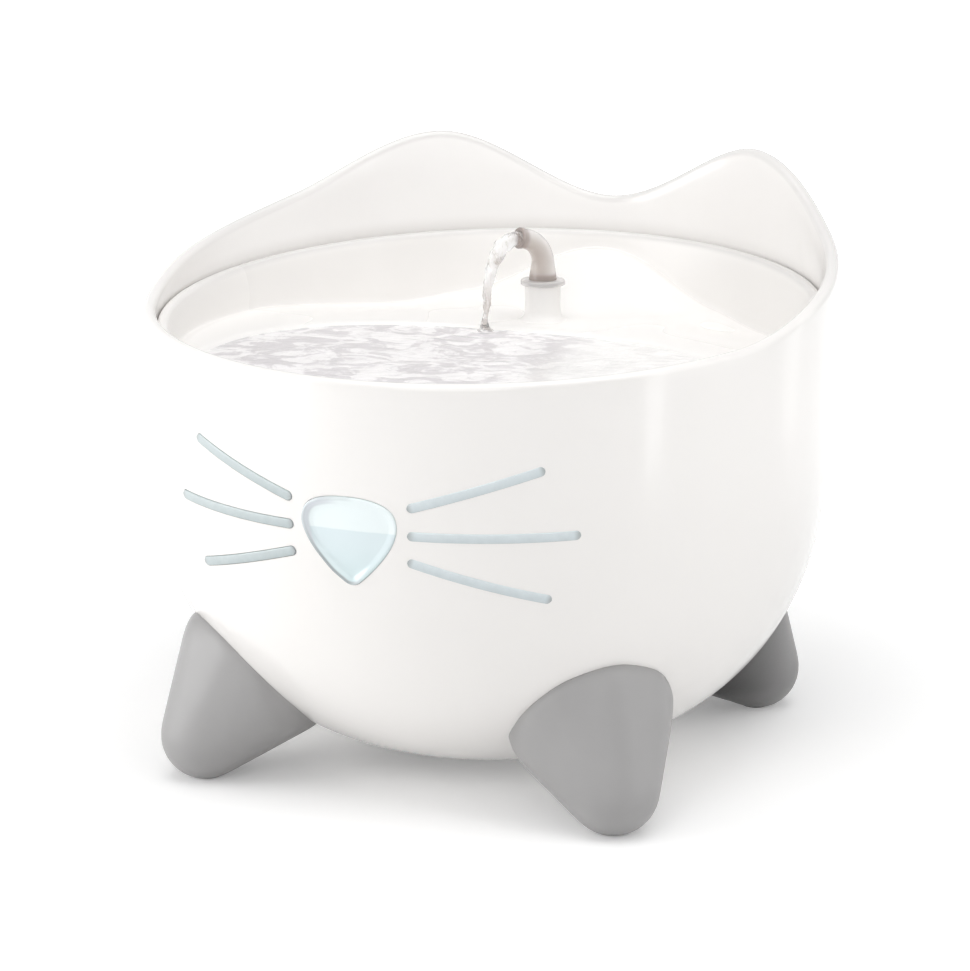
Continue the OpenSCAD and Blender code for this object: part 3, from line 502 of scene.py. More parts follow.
def flat_bar(length, width, top, bottom, soften=0.3):
    """A bar with round ends along X; its depth over the basin's skin is in Z."""
    bm = bmesh.new()
    along, across = (bm.verts.layers.float.new(name) for name in ("along", "across"))
    bmesh.ops.create_grid(bm, x_segments=90, y_segments=8, size=1.0)
    radius = width / 2
    for v in bm.verts:
        end = max(0.0, (abs(v.co.x) - 0.8) / 0.2) * math.pi / 2
        straight = min(abs(v.co.x) / 0.8, 1.0) * (length / 2 - radius)
        x = math.copysign(straight + radius * math.sin(end), v.co.x)
        v[along], v[across] = x / (length / 2), v.co.y * math.cos(end)
        v.co = (x, v.co.y * radius * math.cos(end), top)
    bmesh.ops.remove_doubles(bm, verts=bm.verts, dist=0.001)
    pull_edge(bm, (0, 0, bottom - top))
    close(bm)
    if soften:
        edges = [e for e in bm.edges if len(e.link_faces) == 2 and e.calc_face_angle(0) > 1.0
                 and e.verts[0].co.z > bottom + 0.01 and e.verts[1].co.z > bottom + 0.01]
        bmesh.ops.bevel(bm, geom=edges, offset=soften, offset_type="OFFSET", segments=3, profile=0.5,
                        affect="EDGES", material=-1)
    return bm

def on_skin(height, angle):
    """A point of the basin's outer face; the angle is from the front towards +X."""
    a = math.radians(angle)
    r = side_radius(height)
    return Vector((r * math.sin(a), -r * math.cos(a), height))

def window_frame(line, side):
    """Centre, three directions, radius and sweep of the arc that a window follows."""
    p, q = on_skin(line[1], side * line[0]), on_skin(line[3], side * line[2])
    centre = Vector((0, 0, (q.dot(q) - p.dot(p)) / (2 * (q.z - p.z))))
    u = (p - centre).normalized()
    n = (p - centre).cross(q - centre).normalized()
    return centre, u, n.cross(u), n, (p - centre).length, u.angle(q - centre)

def wrap(bm, line, side):
    """Lay a flat piece along a window's line; its Z becomes depth over the basin's skin."""
    centre, u, v, n, radius, sweep = window_frame(line, side)
    across = bm.verts.layers.float.get("across")
    for vert in bm.verts:
        if across:
            vert[across] *= math.copysign(1.0, n.z)
        turn_by = sweep / 2 + vert.co.x / radius
        ray = u * math.cos(turn_by) + v * math.sin(turn_by)
        start = centre + n * vert.co.y
        reach = radius
        for _ in range(5):
            point = start + ray * reach
            gap = side_radius(point.z) + vert.co.z - math.hypot(point.x, point.y)
            reach += gap / max(0.3, math.hypot(ray.x, ray.y))
        vert.co = start + ray * reach
    bmesh.ops.recalc_face_normals(bm, faces=bm.faces)
    return bm

def window_length(line):
    *_, radius, sweep = window_frame(line, 1)
    return radius * sweep + 2.8

print("Window lengths:", {k: round(window_length(v), 1) for k, v in WINDOWS.items()}, "mm")

# %% [markdown]
# ## The nose, flat
# The nose is a lit lens with three soft corners and bowed sides. A smooth closed curve through a few points
# gives its outline, as a bent wire held by pins would. The outline is then set back in rings towards its
# middle, and each ring gets its own depth: a narrow raised rim, a slope, and a sunk face.

# %% Outline of the nose
NOSE_EDGE = [
    (0, 104.1), (4.5, 103.9), (8.6, 103.1), (11.7, 101.8), (13.8, 99.9), (14.7, 97.4), (14.7, 94.6),
    (13.6, 91.2), (11.7, 87.9), (9.1, 84.6), (6.1, 81.4), (3.6, 79.1), (2.2, 78.0), (0.6, 77.6),
    (-1.0, 78.0), (-2.6, 79.1), (-5.5, 81.4), (-8.4, 84.5), (-11.1, 87.8), (-13.2, 91.2),
    (-14.6, 94.6), (-14.7, 97.4), (-13.7, 100.1), (-11.6, 102.0), (-8.6, 103.2), (-4.5, 103.9)]
NOSE_MIDDLE = Vector((0.0, 0.0, 93.5))

def between_points(a, b, c, d, t):
    """A point on the smooth curve from b to c, whose neighbours are a and d."""
    return tuple(0.5 * (2 * q + (r - p) * t + (2 * p - 5 * q + 4 * r - s) * t * t
                        + (3 * q - p - 3 * r + s) * t**3)
                 for p, q, r, s in zip(a, b, c, d))

def nose_outline(grow):
    """The closed smooth curve through the edge, moved outwards."""
    count = len(NOSE_EDGE)
    curve = [between_points(*[NOSE_EDGE[(i + k) % count] for k in (-1, 0, 1, 2)], step / 6)
             for i in range(count) for step in range(6)]
    out = []
    for (x0, z0), (x, z), (x1, z1) in zip(curve[-1:] + curve, curve, curve[1:] + curve[:1]):
        length = math.hypot(x1 - x0, z1 - z0)
        out.append((x - grow * (z1 - z0) / length, z + grow * (x1 - x0) / length))
    return out

print("Nose outline has", len(nose_outline(0.0)), "points")

# %% [markdown]
# ## Basin
# The basin is one thin shell: a flat underside, a side that swells and then stands upright, a rounded lip
# that climbs into two ears, and inside it a ledge for the dish. The half section is spun level, and then
# every point near the lip and the ledge is moved up or down to follow the tilted planes and the ears.

# %% Spin the basin
LEVEL_TO = 118.0  # below this height the basin stays as it was spun
LIP_FROM, LEDGE_FROM = LIP_Z - 4.0, 134.0

def basin_section():
    """Half section, from the middle of the underside over the lip to the middle of the floor."""
    heights = [UNDERSIDE + (LEVEL_TO - UNDERSIDE) * (i / 46) ** 1.7 for i in range(47)]
    outer = [(0.0, UNDERSIDE)] + [(side_radius(z), z) for z in (*heights, *range(121, 143, 3), LIP_FROM)]
    lip = [(LIP_R + 2.0 * math.cos(t), LIP_Z - 2.0 + 2.0 * math.sin(t))
           for t in [math.pi * i / 12 for i in range(13)]]
    inner = [(RECESS_R, z) for z in (145.0, 142.0, 140.0, 138.2, LEDGE_TOP)]
    ledge = [(RECESS_R - 0.6, LEDGE_TOP), (LEDGE_R + 0.3, LEDGE_TOP), (LEDGE_R, LEDGE_TOP - 0.3),
             (LEDGE_R, LEDGE_LOW + 0.3), (LEDGE_R + 0.3, LEDGE_LOW), (side_radius(134) - WALL, LEDGE_LOW)]
    inside = [(side_radius(z) - WALL, z) for z in (132, 128, 122, 116)]
    heights = [FLOOR + 104.0 * (i / 30) ** 1.6 for i in range(30, -1, -1)]
    inside += [(max(side_radius(z) - WALL - 1.4 * max(0.0, (30 - z) / 24), 0.0), z) for z in heights]
    return outer + lip + inner + ledge + inside + [(0.0, FLOOR)]

def drape_basin(bm):
    """Tilt the ledge and raise the lip of a basin that was spun level."""
    def stretch(z, old_low, old_high, low, high):
        return low + (z - old_low) / (old_high - old_low) * (high - low)

    for v in bm.verts:
        x, y, z = v.co
        lip, rim = lip_height(x, y), rim_height(y)
        lip_from = lip + LIP_FROM - LIP_Z
        ledge_top, ledge_from = (rim + height - RIM_Z for height in (LEDGE_TOP, LEDGE_FROM))
        outside = math.hypot(x, y) > 104.95 or z > 147.99
        if z >= LIP_FROM:
            v.co.z = lip + z - LIP_Z
        elif outside and z > LEVEL_TO:
            v.co.z = stretch(z, LEVEL_TO, LIP_FROM, LEVEL_TO, lip_from)
        elif not outside and z >= LEDGE_TOP:
            v.co.z = stretch(z, LEDGE_TOP, LIP_FROM, ledge_top, lip_from)
        elif not outside and z > LEDGE_FROM:
            v.co.z = rim + z - RIM_Z
        elif not outside and z > LEVEL_TO:
            v.co.z = stretch(z, LEVEL_TO, LEDGE_FROM, LEVEL_TO, ledge_from)

basin = section(basin_section())
turn(basin, 360)
drape_basin(basin)
print("Basin skin:", len(basin.verts), "points")

# %% Cut the slots and the holes
def round_bar(radius, start, end, steps=48):
    """A plain closed rod between two points, used to cut holes."""
    bm = bmesh.new()
    start, end = Vector(start), Vector(end)
    made = bmesh.ops.create_cone(bm, cap_ends=True, segments=steps, radius1=radius, radius2=radius,
                                 depth=(end - start).length)["verts"]
    turned = (end - start).to_track_quat("Z", "Y").to_matrix().to_4x4()
    bmesh.ops.transform(bm, verts=made, matrix=Matrix.Translation((start + end) / 2) @ turned)
    return bm

for side in (-1, 1):
    for line in WINDOWS.values():
        slot_cutter = wrap(flat_bar(window_length(line) + 0.3, 3.1, 2.0, -5.0, soften=0), line, side)
        basin = carve(basin, slot_cutter)
for cutter in (prism(nose_outline(0.15), -120.0, -80.0), round_bar(4.55, (0, 95, 116), (0, 115, 116)),
               round_bar(7.05, (0, 105.4, 116), (0, 115, 116))):
    basin = carve(basin, cutter)

# %% Bosses for the feet, pins for the pump, and the finished basin
def add_bosses(bm):
    """Hollow bosses that take the screws of the feet, and four pins between which the pump stands."""
    for angle in (45, 135, 225, 315):
        a = math.radians(angle)
        x, y = SCREW_R * math.sin(a), -SCREW_R * math.cos(a)
        low, high = 21.2, 43.0
        boss = bmesh.ops.create_cone(bm, cap_ends=True, segments=48, radius1=4.2, radius2=4.2,
                                     depth=high - low)["verts"]
        bmesh.ops.translate(bm, verts=boss, vec=(x, y, (high + low) / 2))
        crown = list({f for v in boss for f in v.link_faces if f.normal.z > 0.9})
        bmesh.ops.inset_region(bm, faces=crown, thickness=2.6, use_even_offset=True)
        bmesh.ops.translate(bm, verts=crown[0].verts[:], vec=(0, 0, -2.0))
    for x in (-18, 18):
        for y in (8, 25):
            pin = bmesh.ops.create_cone(bm, cap_ends=True, segments=32, radius1=1.6, radius2=1.35,
                                        depth=5.5)["verts"]
            bmesh.ops.translate(bm, verts=pin, vec=(x, y, 10.25))

add_bosses(basin)
below_lip = basin.verts.layers.float.new("below_lip")
for v in basin.verts:
    v[below_lip] = lip_height(v.co.x, v.co.y) - v.co.z
keep("basin_body", basin, basin_white, "tank", ["tank_shell"])

# %% [markdown]
# ## Windows and nose
# The windows are pale blue-grey, with painted light and shade: paler towards one long edge and on the
# right-hand side, and a little darker at their ends. The nose glows faintly. Its lower part is deeper in
# colour, because water stands behind it there, its left flank carries a band of painted blue-grey shade, and
# a thin dark line of painted shadow marks its right-hand edge.
# Both are clear plastic over a pale back, which a soft gloss over a milky colour shows well enough. The
# lens is inset in rings, and the distance of each ring from the edge gives its depth and its tone.

# %% Finish of the windows and the nose
def milky_window(name):
    finish = Finish(name)
    # Painted shade: the ends of each window are darker.
    ends = finish.attribute("along").size().ramp(0.90, 0.995)
    streak = finish.cloud(420.0, 3.0, 0.55)
    # Painted light: paler towards one long edge, mixed with a random streaky tone.
    tone = (streak * 0.5 + finish.attribute("across") * 0.35).ramp(-0.2, 0.65, 0.0, 1.0, "LINEAR")
    # Painted light and shade: the windows on the right-hand side are paler than those on the left.
    left = finish.between(tone, (0.405, 0.465, 0.475), (0.545, 0.610, 0.620))
    right = finish.between(tone, (0.525, 0.590, 0.615), (0.710, 0.775, 0.800))
    body = finish.between(finish.axis("X").ramp(-0.02, 0.02), left, right)
    return finish.done(finish.plastic(
        finish.between(ends, body, (0.42, 0.455, 0.465)),
        streak.ramp(0.3, 0.7, 0.14, 0.24), finish.relief(streak, 0.00004, 0.3),
        IOR=1.49, Coat_Weight=0.3, Coat_Roughness=0.05))

def lit_nose(name):
    finish = Finish(name)
    height = finish.axis("Z")
    haze = finish.cloud(150.0, 2.0)
    upper = (height + haze * 0.0004).ramp(0.0940, 0.0946)
    deep = finish.between((height + haze * 0.004).ramp(0.078, 0.094),
                          (0.645, 0.775, 0.795), (0.705, 0.808, 0.836))
    face = finish.between(upper, deep, (0.840, 0.920, 0.930))
    inset = finish.attribute("inset")
    # Painted shade: the slope of the rim on the left flank is a blue-grey band.
    left = (finish.axis("X") + (height - 0.077) * 0.35).ramp(0.001, 0.007, 1.0, 0.0)
    slope = (inset - height.ramp(0.086, 0.096, 0.0, 1.4)).ramp(0.5, 1.2, 1.0, 0.0)
    rim = finish.between(slope * left, face, (0.700, 0.745, 0.785))
    # Painted shadow: a thin dark line along the outer edge on the side of the blue-grey band, strongest low
    # down.
    line = (inset.ramp(0.8, 1.5, 1.0, 0.0) * finish.axis("X").ramp(-0.001, 0.003, 1.0, 0.0)
            * height.ramp(0.084, 0.100, 1.0, 0.2))
    return finish.done(finish.plastic(
        finish.between(line, rim, (0.34, 0.38, 0.39)),
        haze.ramp(0.3, 0.7, 0.10, 0.18), finish.relief(haze, 0.00003, 0.3),
        IOR=1.49, Coat_Weight=0.4, Coat_Roughness=0.04))

window_blue = milky_window("blue_window")
nose_blue = lit_nose("nose_blue")

# %% Lay the six windows
for side, side_name in ((-1, "left"), (1, "right")):
    for height, line in WINDOWS.items():
        pane = wrap(flat_bar(window_length(line), 2.8, 0.3, -2.6), line, side)
        join_in(pane, wrap(flat_bar(window_length(line) + 3.0, 5.8, -2.45, -2.95, soften=0), line, side))
        keep(f"level_window_{side_name}_{height}", pane, window_blue, "tank",
             [f"whisker_window_{side_name}_{height}"])

# %% Shape the nose lens
def leftness(x, z):
    """1 on the nose's left flank, falling to 0 on its right."""
    return through([(0.0, 1.0, 0.0), (10.0, 0.0, 0.0), (99.0, 0.0, 0.0)], max(x + 0.35 * (z - 77.0), 0.0))

def nose_depth(inset, left):
    """Depth over the basin's skin, by distance from the edge: the rim stands up most on the left."""
    rim, face = 0.35 + 0.50 * left, -0.10 - 0.32 * left
    return through([(0, 0.4 * rim, 2.5 * rim), (0.3, 0.94 * rim, 0.6 * rim), (0.7, rim, -0.2),
                    (2.7, face + 0.07 * left, -0.2 * left), (4.0, face, 0.0)], min(inset, 4.0))

def make_nose():
    bm = prism(nose_outline(0.0), -120.0, -70.0)
    front = min(bm.faces, key=lambda f: f.calc_center_median().y)
    bmesh.ops.delete(bm, geom=[f for f in bm.faces if f is not front], context="FACES")
    for edge in [e for e in bm.edges if e.calc_length() > 1.2]:
        bmesh.ops.bisect_edges(bm, edges=[edge], cuts=int(edge.calc_length() / 0.6))
    inset = bm.verts.layers.float.new("inset")
    total = 0.0
    for step in (0.15, 0.15, 0.2, 0.2, 0.35, 0.4, 0.4, 0.4, 0.25):
        bmesh.ops.inset_region(bm, faces=[front], thickness=step, use_even_offset=True, use_boundary=True)
        total += step
        for v in front.verts:
            v[inset] = total
    for shrink in (0.88, 0.86, 0.83, 0.8, 0.75, 0.66, 0.5):
        bmesh.ops.inset_region(bm, faces=[front], thickness=0.01, use_even_offset=True, use_boundary=True)
        middle = Vector((NOSE_MIDDLE.x, front.verts[0].co.y, NOSE_MIDDLE.z))
        bmesh.ops.scale(bm, verts=front.verts[:], vec=(shrink,) * 3, space=Matrix.Translation(-middle))
        for v in front.verts:
            v[inset] = 4.0
    bmesh.ops.poke(bm, faces=[front])
    for v in bm.verts:
        if not v.is_boundary and v[inset] == 0.0:
            v[inset] = 4.0
    for v in bm.verts:
        r = side_radius(v.co.z) + nose_depth(v[inset], leftness(v.co.x, v.co.z))
        v.co.y = -math.sqrt(r * r - v.co.x ** 2)
    pull_edge(bm, (0, 4.6, 0))
    close(bm)
    return bm

keep("nose_light_lens", make_nose(), nose_blue, "tank", ["nose_lens"], sharp=50.0)

# %% [markdown]
# ## Feet
# Each foot is a rounded ear that points down and out. Nine balls give its fullness: the tip on the floor,
# two flanks, five for the brow and one at the root. A skin is pulled over them, trimmed to the outline of a
# dome, made into an even mesh and smoothed. Then the shape of the basin is cut out of it, so that it fits
# the basin like a shoe.

# %% Shape the feet
def foot_block():
    """The skin over nine balls, for a foot that points to -Y."""
    bm = bmesh.new()
    for out, aside, z, radius in [
            (94.8, 0, 13.0, 13.9), (77.7, 8.0, 28.4, 17.2), (77.7, -8.0, 28.4, 17.2),
            (75.7, 12.0, 40.4, 15.6), (75.7, -12.0, 40.4, 15.6), (82.4, 8.3, 42.3, 14.0),
            (82.4, -8.3, 42.3, 14.0), (86.8, 0, 41.1, 14.3), (66.6, 0, 23.3, 12.8)]:
        ball = bmesh.ops.create_icosphere(bm, subdivisions=5, radius=radius)["verts"]
        bmesh.ops.translate(bm, verts=ball, vec=(aside, -out, z))
    bmesh.ops.delete(bm, geom=bm.edges[:], context="EDGES_FACES")
    bmesh.ops.convex_hull(bm, input=bm.verts)
    bmesh.ops.delete(bm, geom=[v for v in bm.verts if not v.link_faces], context="VERTS")
    bmesh.ops.recalc_face_normals(bm, faces=bm.faces)
    half_width, middle, rise = 24.8, 30.0, 21.8
    dome = [(half_width * math.cos(math.radians(a)), middle + rise * math.sin(math.radians(a)))
            for a in range(0, 181, 5)]
    outline = [(half_width, -5.0)] + dome + [(-half_width, -5.0)]
    return carve(bm, prism(outline, -130.0, -30.0), "INTERSECT")

def even_skin(bm, voxel, smooth):
    """Remesh into small even faces, then relax them."""
    obj = as_object(bm, "even")
    grid = obj.modifiers.new("grid", "REMESH")
    grid.mode, grid.voxel_size = "VOXEL", voxel
    result = as_bmesh(obj)
    for _ in range(smooth):
        bmesh.ops.smooth_vert(result, verts=result.verts, factor=0.5,
                              use_axis_x=True, use_axis_y=True, use_axis_z=True)
    return result

def basin_plug():
    """Everything inside the basin's outer face, a hair larger."""
    profile = [(0.0, 5.95)] + [(side_radius(z) + 0.05, z) for z in
                               [6.0 + 114.0 * (i / 50) ** 1.7 for i in range(51)]] + [(0.0, 120.0)]
    return turn(section(profile), 240)

def make_foot(turned):
    """A foot with a flat sole, the basin, a screw hole and the seat of its pad cut out of it."""
    bm = even_skin(foot_block(), 0.9, 20)
    bmesh.ops.bisect_plane(bm, geom=bm.verts[:] + bm.edges[:] + bm.faces[:], plane_co=(0, 0, 0.4),
                           plane_no=(0, 0, -1), clear_outer=True)
    close(bm)
    for cutter in (basin_plug(), round_bar(3.2, (0, -SCREW_R, -1), (0, -SCREW_R, 14)),
                   round_bar(4.45, (0, -94.4, -1), (0, -94.4, 2.05))):
        bm = carve(bm, cutter)
    bmesh.ops.rotate(bm, verts=bm.verts, matrix=Matrix.Rotation(math.radians(turned), 3, "Z"))
    return bm

for turned, where in ((45, "front_right"), (135, "rear_right"), (225, "rear_left"), (315, "front_left")):
    keep(f"ear_foot_{where}", make_foot(turned), foot_grey, "tank", [f"foot_{where}"])

# %% [markdown]
# ## Dish
# The dish has a rim in the tilted plane, a side that falls to a level deck, a soft hill at the back, a
# pool at the front and a short pillar for the spout. The deck dips a little on each side of the hill. The
# section of the dish is spun, and each point then gets the height of the deck, hill, pool or side at its
# place, with a rounded corner where they meet.

# %% Heights of the dish
DECK = 128.0
DISH_WALL = 2.5
SIDE_FROM = 90.0  # radius at which the deck may give way to the side
POOL = {"half_w": 80.0, "half_l": 61.0, "y": -33.0, "power": 2.5}
# Fall of the pool's side: distance inside the outline, height, slope
POOL_SIDE = [(-2.0, 0.0, 0.0), (0.3, -0.45, -0.6), (2.4, -2.6, -1.45), (5.0, -6.6, -1.2),
             (9.0, -9.6, -0.4), (15.0, -11.0, 0.0)]
# Side of the dish: radius, height over the rim's plane
SIDE_OF_DISH = [(SIDE_FROM, -60.0), (94.8, -24.0), (97.85, -7.0), (98.85, -1.9), (99.3, -0.7), (100.0, -0.1),
                (103.0, 0.3)]

def pool_inset(x, y):
    """How far a point lies inside the pool's outline."""
    def fits(d):
        return ((abs(x) / (POOL["half_w"] - d)) ** POOL["power"]
                + (abs(y - POOL["y"]) / (POOL["half_l"] - d)) ** POOL["power"] <= 1.0)
    if not fits(-2.0):
        return -2.0
    low, high = -2.0, 15.0
    if fits(high):
        return high
    for _ in range(16):
        middle = (low + high) / 2
        low, high = (middle, high) if fits(middle) else (low, middle)
    return low

# On each side of the hill the deck dips towards the wall: degrees from the back, depth, slope
DIP = [(22.0, 0.0, 0.0), (42.0, -3.9, 0.0), (78.0, 0.0, 0.0), (180.0, 0.0, 0.0)]

def deck_height(x, y):
    hill = (x / 44.0) ** 2 + ((y - 96.0) / 46.0) ** 2
    rise = 14.6 * (1.0 - hill) ** 2 if hill < 1.0 else 0.0
    from_back = math.degrees(abs(math.atan2(x, y)))
    near_wall = min(max((math.hypot(x, y) - 58.0) / 36.0, 0.0), 1.0)
    dip = through(DIP, max(from_back, 22.0)) * near_wall ** 2 * (3.0 - 2.0 * near_wall)
    return DECK + rise + dip + through(POOL_SIDE, pool_inset(x, y))

def side_height(r, y):
    for (r0, d0), (r1, d1) in zip(SIDE_OF_DISH, SIDE_OF_DISH[1:]):
        if r <= r1:
            return rim_height(y) + d0 + (d1 - d0) * (r - r0) / (r1 - r0)
    return rim_height(y)

def dish_height(x, y):
    """Height of the top of the dish: the higher of deck and side, with a rounded corner between them."""
    r = math.hypot(x, y)
    floor = deck_height(x, y)
    if r < SIDE_FROM:
        return floor
    side, blend_over = side_height(r, y), 2.6
    h = min(max(0.5 + 0.5 * (side - floor) / blend_over, 0.0), 1.0)
    return floor + (side - floor) * h + blend_over * h * (1.0 - h)

print("Deck behind the pool", round(deck_height(60, 60), 1), "hill", round(deck_height(0, 90), 1),
      "pool", round(deck_height(0, -33), 1))

# %% Spin and shape the dish
# Levels in the section stand for the kind of surface: 10 the top, 20 the rim, 5 the side, 0 the underside.
def dish_section():
    top = [(SIDE_FROM / 72 * i, 10.0) for i in range(73)]
    top += [(SIDE_FROM + 0.5 * i, 10.0) for i in range(1, 9)]
    top += [(SIDE_FROM + 4.0 + 0.2 * i, 10.0) for i in range(1, 38)]
    rim = [(102.0, 19.93), (102.4, 19.7), (102.58, 19.4), (102.6, 19.0), (102.6, 17.6), (102.45, 17.2),
           (102.1, 17.05), (100.3, 17.05)]
    side = [(100.3, 5.0 - 0.4 * i) for i in range(6)]
    under = [(100.3 - 3.3 * i, 0.0) for i in range(30)] + [(0.0, 0.0)]
    return top + rim + side + under

def drape_dish(bm):
    for v in bm.verts:
        x, y, kind = v.co
        r = math.hypot(x, y)
        if kind > 15.0:
            v.co.z = rim_height(y) + kind - 20.0
        elif kind > 9.0:
            v.co.z = dish_height(x, y)
        elif kind > 2.9:
            low = DECK - DISH_WALL
            v.co.z = low + (kind - 3.0) / 2.0 * (rim_height(y) - 3.0 - low)
        else:
            v.co.z = (deck_height(x, y) if r < 99.0 else DECK) - DISH_WALL

dish = section(dish_section())
turn(dish, 360)
drape_dish(dish)
pillar = section([
    (3.6, 106.0), (5.0, 106.0, 0.3), (5.0, 126.0), (8.6, 127.5), (7.3, 128.15), (6.5, 128.8), (6.0, 129.8),
    (5.8, 131.2), (5.75, 133.0), (5.75, 139.4, 0.25), (3.6, 139.4), (3.6, 106.0)])
turn(pillar, 64)
bmesh.ops.translate(pillar, verts=pillar.verts, vec=(0, PILLAR_Y, 0))
join_in(dish, pillar)
keep("drinking_dish_body", dish, dish_white, "dish", ["drinking_dish"], sharp=75.0)

# %% [markdown]
# ## Spout
# A flat round flange sits on the pillar, and a small bent tube turns on it. The tube is swept: a circle of
# edges is extruded from station to station along the bend, over the mouth and back down the inside, so
# that it has a real wall. The plastic is clear with a warm smoky tint, and painted shade darkens the inner
# side of the bend, a band at its foot and the mouth.

# %% Sweep a tube
def circle_at(bm, matrix, radius, segments):
    ring = bmesh.ops.create_circle(bm, segments=segments, radius=radius)["verts"]
    bmesh.ops.transform(bm, verts=ring, matrix=matrix)
    return [e for e in bm.edges if e.verts[0] in ring and e.verts[1] in ring]

def sweep(stations, segments=48, caps=True):
    """Skin through circles; a station is its place and direction as a matrix, and its radius."""
    bm = bmesh.new()
    at, radius = stations[0]
    edges = circle_at(bm, at, radius, segments)
    first = edges
    for next_at, next_radius in stations[1:]:
        grown = bmesh.ops.extrude_edge_only(bm, edges=edges)
        edges = [g for g in grown["geom"] if isinstance(g, bmesh.types.BMEdge) and g.is_boundary]
        k = next_radius / radius
        move = next_at @ Matrix.Diagonal((k, k, 1, 1)) @ at.inverted()
        bmesh.ops.transform(bm, verts=new_points(grown), matrix=move)
        at, radius = next_at, next_radius
    if caps:
        bmesh.ops.holes_fill(bm, edges=first + edges, sides=0)
    bmesh.ops.recalc_face_normals(bm, faces=bm.faces)
    return bm

SPOUT_FOOT = Matrix.Translation((0, PILLAR_Y, 141.1)) @ Matrix.Rotation(math.radians(-32), 4, "Z")
NECK, BEND_R, BEND = 5.0, 9.0, math.radians(78)

def along_bend(distance):
    """Matrix of a station at a distance along the spout's middle line, from its foot."""
    if distance <= NECK:
        return SPOUT_FOOT @ Matrix.Translation((0, 0, distance))
    turned = min((distance - NECK) / BEND_R, BEND)
    beyond = max(0.0, distance - NECK - BEND_R * BEND)
    bent = (Matrix.Translation((0, -BEND_R, NECK)) @ Matrix.Rotation(turned, 4, "X")
            @ Matrix.Translation((0, BEND_R, beyond)))
    return SPOUT_FOOT @ bent

MOUTH = NECK + BEND_R * BEND + 2.6
mouth_at = along_bend(MOUTH).translation
print("Mouth of the spout at", tuple(round(c, 1) for c in mouth_at))

# %% Smoky clear plastic
def smoky_clear(name):
    """Painted shade: warm and darker on the inner side of the bend, dark at the foot and in the mouth; pale
    on the flange.
    """
    finish = Finish(name)
    drift = finish.cloud(220.0, 2.0)
    out = finish.axis("X") * SPOUT_WAY[0] + (finish.axis("Y") - PILLAR_Y * mm) * SPOUT_WAY[1]
    up = (finish.axis("Z") - 0.1461).ramp(0.0, 0.020, 0.0, 0.020, "LINEAR")
    bend = BEND_R * mm
    from_middle = ((out - bend) ** 2 + up ** 2) ** 0.5 - bend
    # Painted shade: the inner side of the bend is warmer and darker than the outer side.
    outer_side = (from_middle + drift * 0.0006).ramp(-0.0028, 0.0034)
    painted_bend_shading = finish.between(outer_side, (0.80, 0.735, 0.69), (0.985, 0.965, 0.95))
    tube = finish.axis("Z").ramp(0.14106, 0.14115)
    # Painted shade: a dark band just above the flange, and a dark ring in the mouth.
    foot_shade_band = finish.axis("Z").ramp(0.1422, 0.1436, 1.0, 0.0)
    mouth_shade_ring = finish.away_from(tuple(mouth_at * mm)).ramp(0.0032, 0.0044, 1.0, 0.0)
    dark = foot_shade_band.at_least(mouth_shade_ring)
    return finish.done(finish.plastic(
        finish.between(tube, (0.92, 0.90, 0.89), finish.between(dark, painted_bend_shading, (0.56, 0.49, 0.46))),
        drift.ramp(0.3, 0.7, 0.05, 0.12), finish.relief(drift, 0.00003, 0.3),
        IOR=1.46, Transmission_Weight=0.50))

spout_smoke = smoky_clear("spout_clear")

outside = [(0.0, 4.5), (0.4, 4.5), (1.6, 4.3), (3.0, 4.05), (5.0, 3.75)]
outside += [(NECK + BEND_R * math.radians(6 * i), 3.3 + 0.45 * (1 - i / 13) ** 2) for i in range(1, 14)]
outside += [(MOUTH - 1.5, 3.3), (MOUTH - 1.1, 3.45), (MOUTH - 0.3, 3.45), (MOUTH, 3.2)]
inside = [(MOUTH, 2.3), (MOUTH - 0.4, 2.0)] + [(d, 1.95) for d, _ in outside[-5::-1]]
stations = [(along_bend(d), r) for d, r in outside + inside + [(-11.0, 1.9), (-11.0, 2.5), (0.0, 2.5)]]
tube = sweep([*stations, (along_bend(0.0), 4.5)], caps=False)
bmesh.ops.remove_doubles(tube, verts=tube.verts, dist=0.002)
bmesh.ops.recalc_face_normals(tube, faces=tube.faces)
keep("bent_spout", tube, spout_smoke, "spout", ["spout_nozzle"])

flange = section([(2.55, 127.0), (3.5, 127.0, 0.3), (3.5, 139.45), (7.15, 139.45, 0.3), (7.15, 141.05, 0.5),
                  (3.0, 141.05, 0.2), (2.55, 140.6), (2.55, 127.0)])
turn(flange, 72)
bmesh.ops.translate(flange, verts=flange.verts, vec=(0, PILLAR_Y, 0))
keep("spout_flange", flange, spout_smoke, "spout_socket", ["spout_collar"])

# %% [markdown]
# ## Water
# The pool is nearly full, and the stream sends rings over it. The surface is a disc drawn into the outline
# of the pool, and its points rise and fall by the sum of a few waves. Grey patches with crisp edges are
# painted reflections, broken ones, and on the right a painted reflection of the white wall lies almost
# evenly. The stream is a swept tube whose width changes and wobbles, as falling water does; its brownish
# and white streaks are painted reflections too.

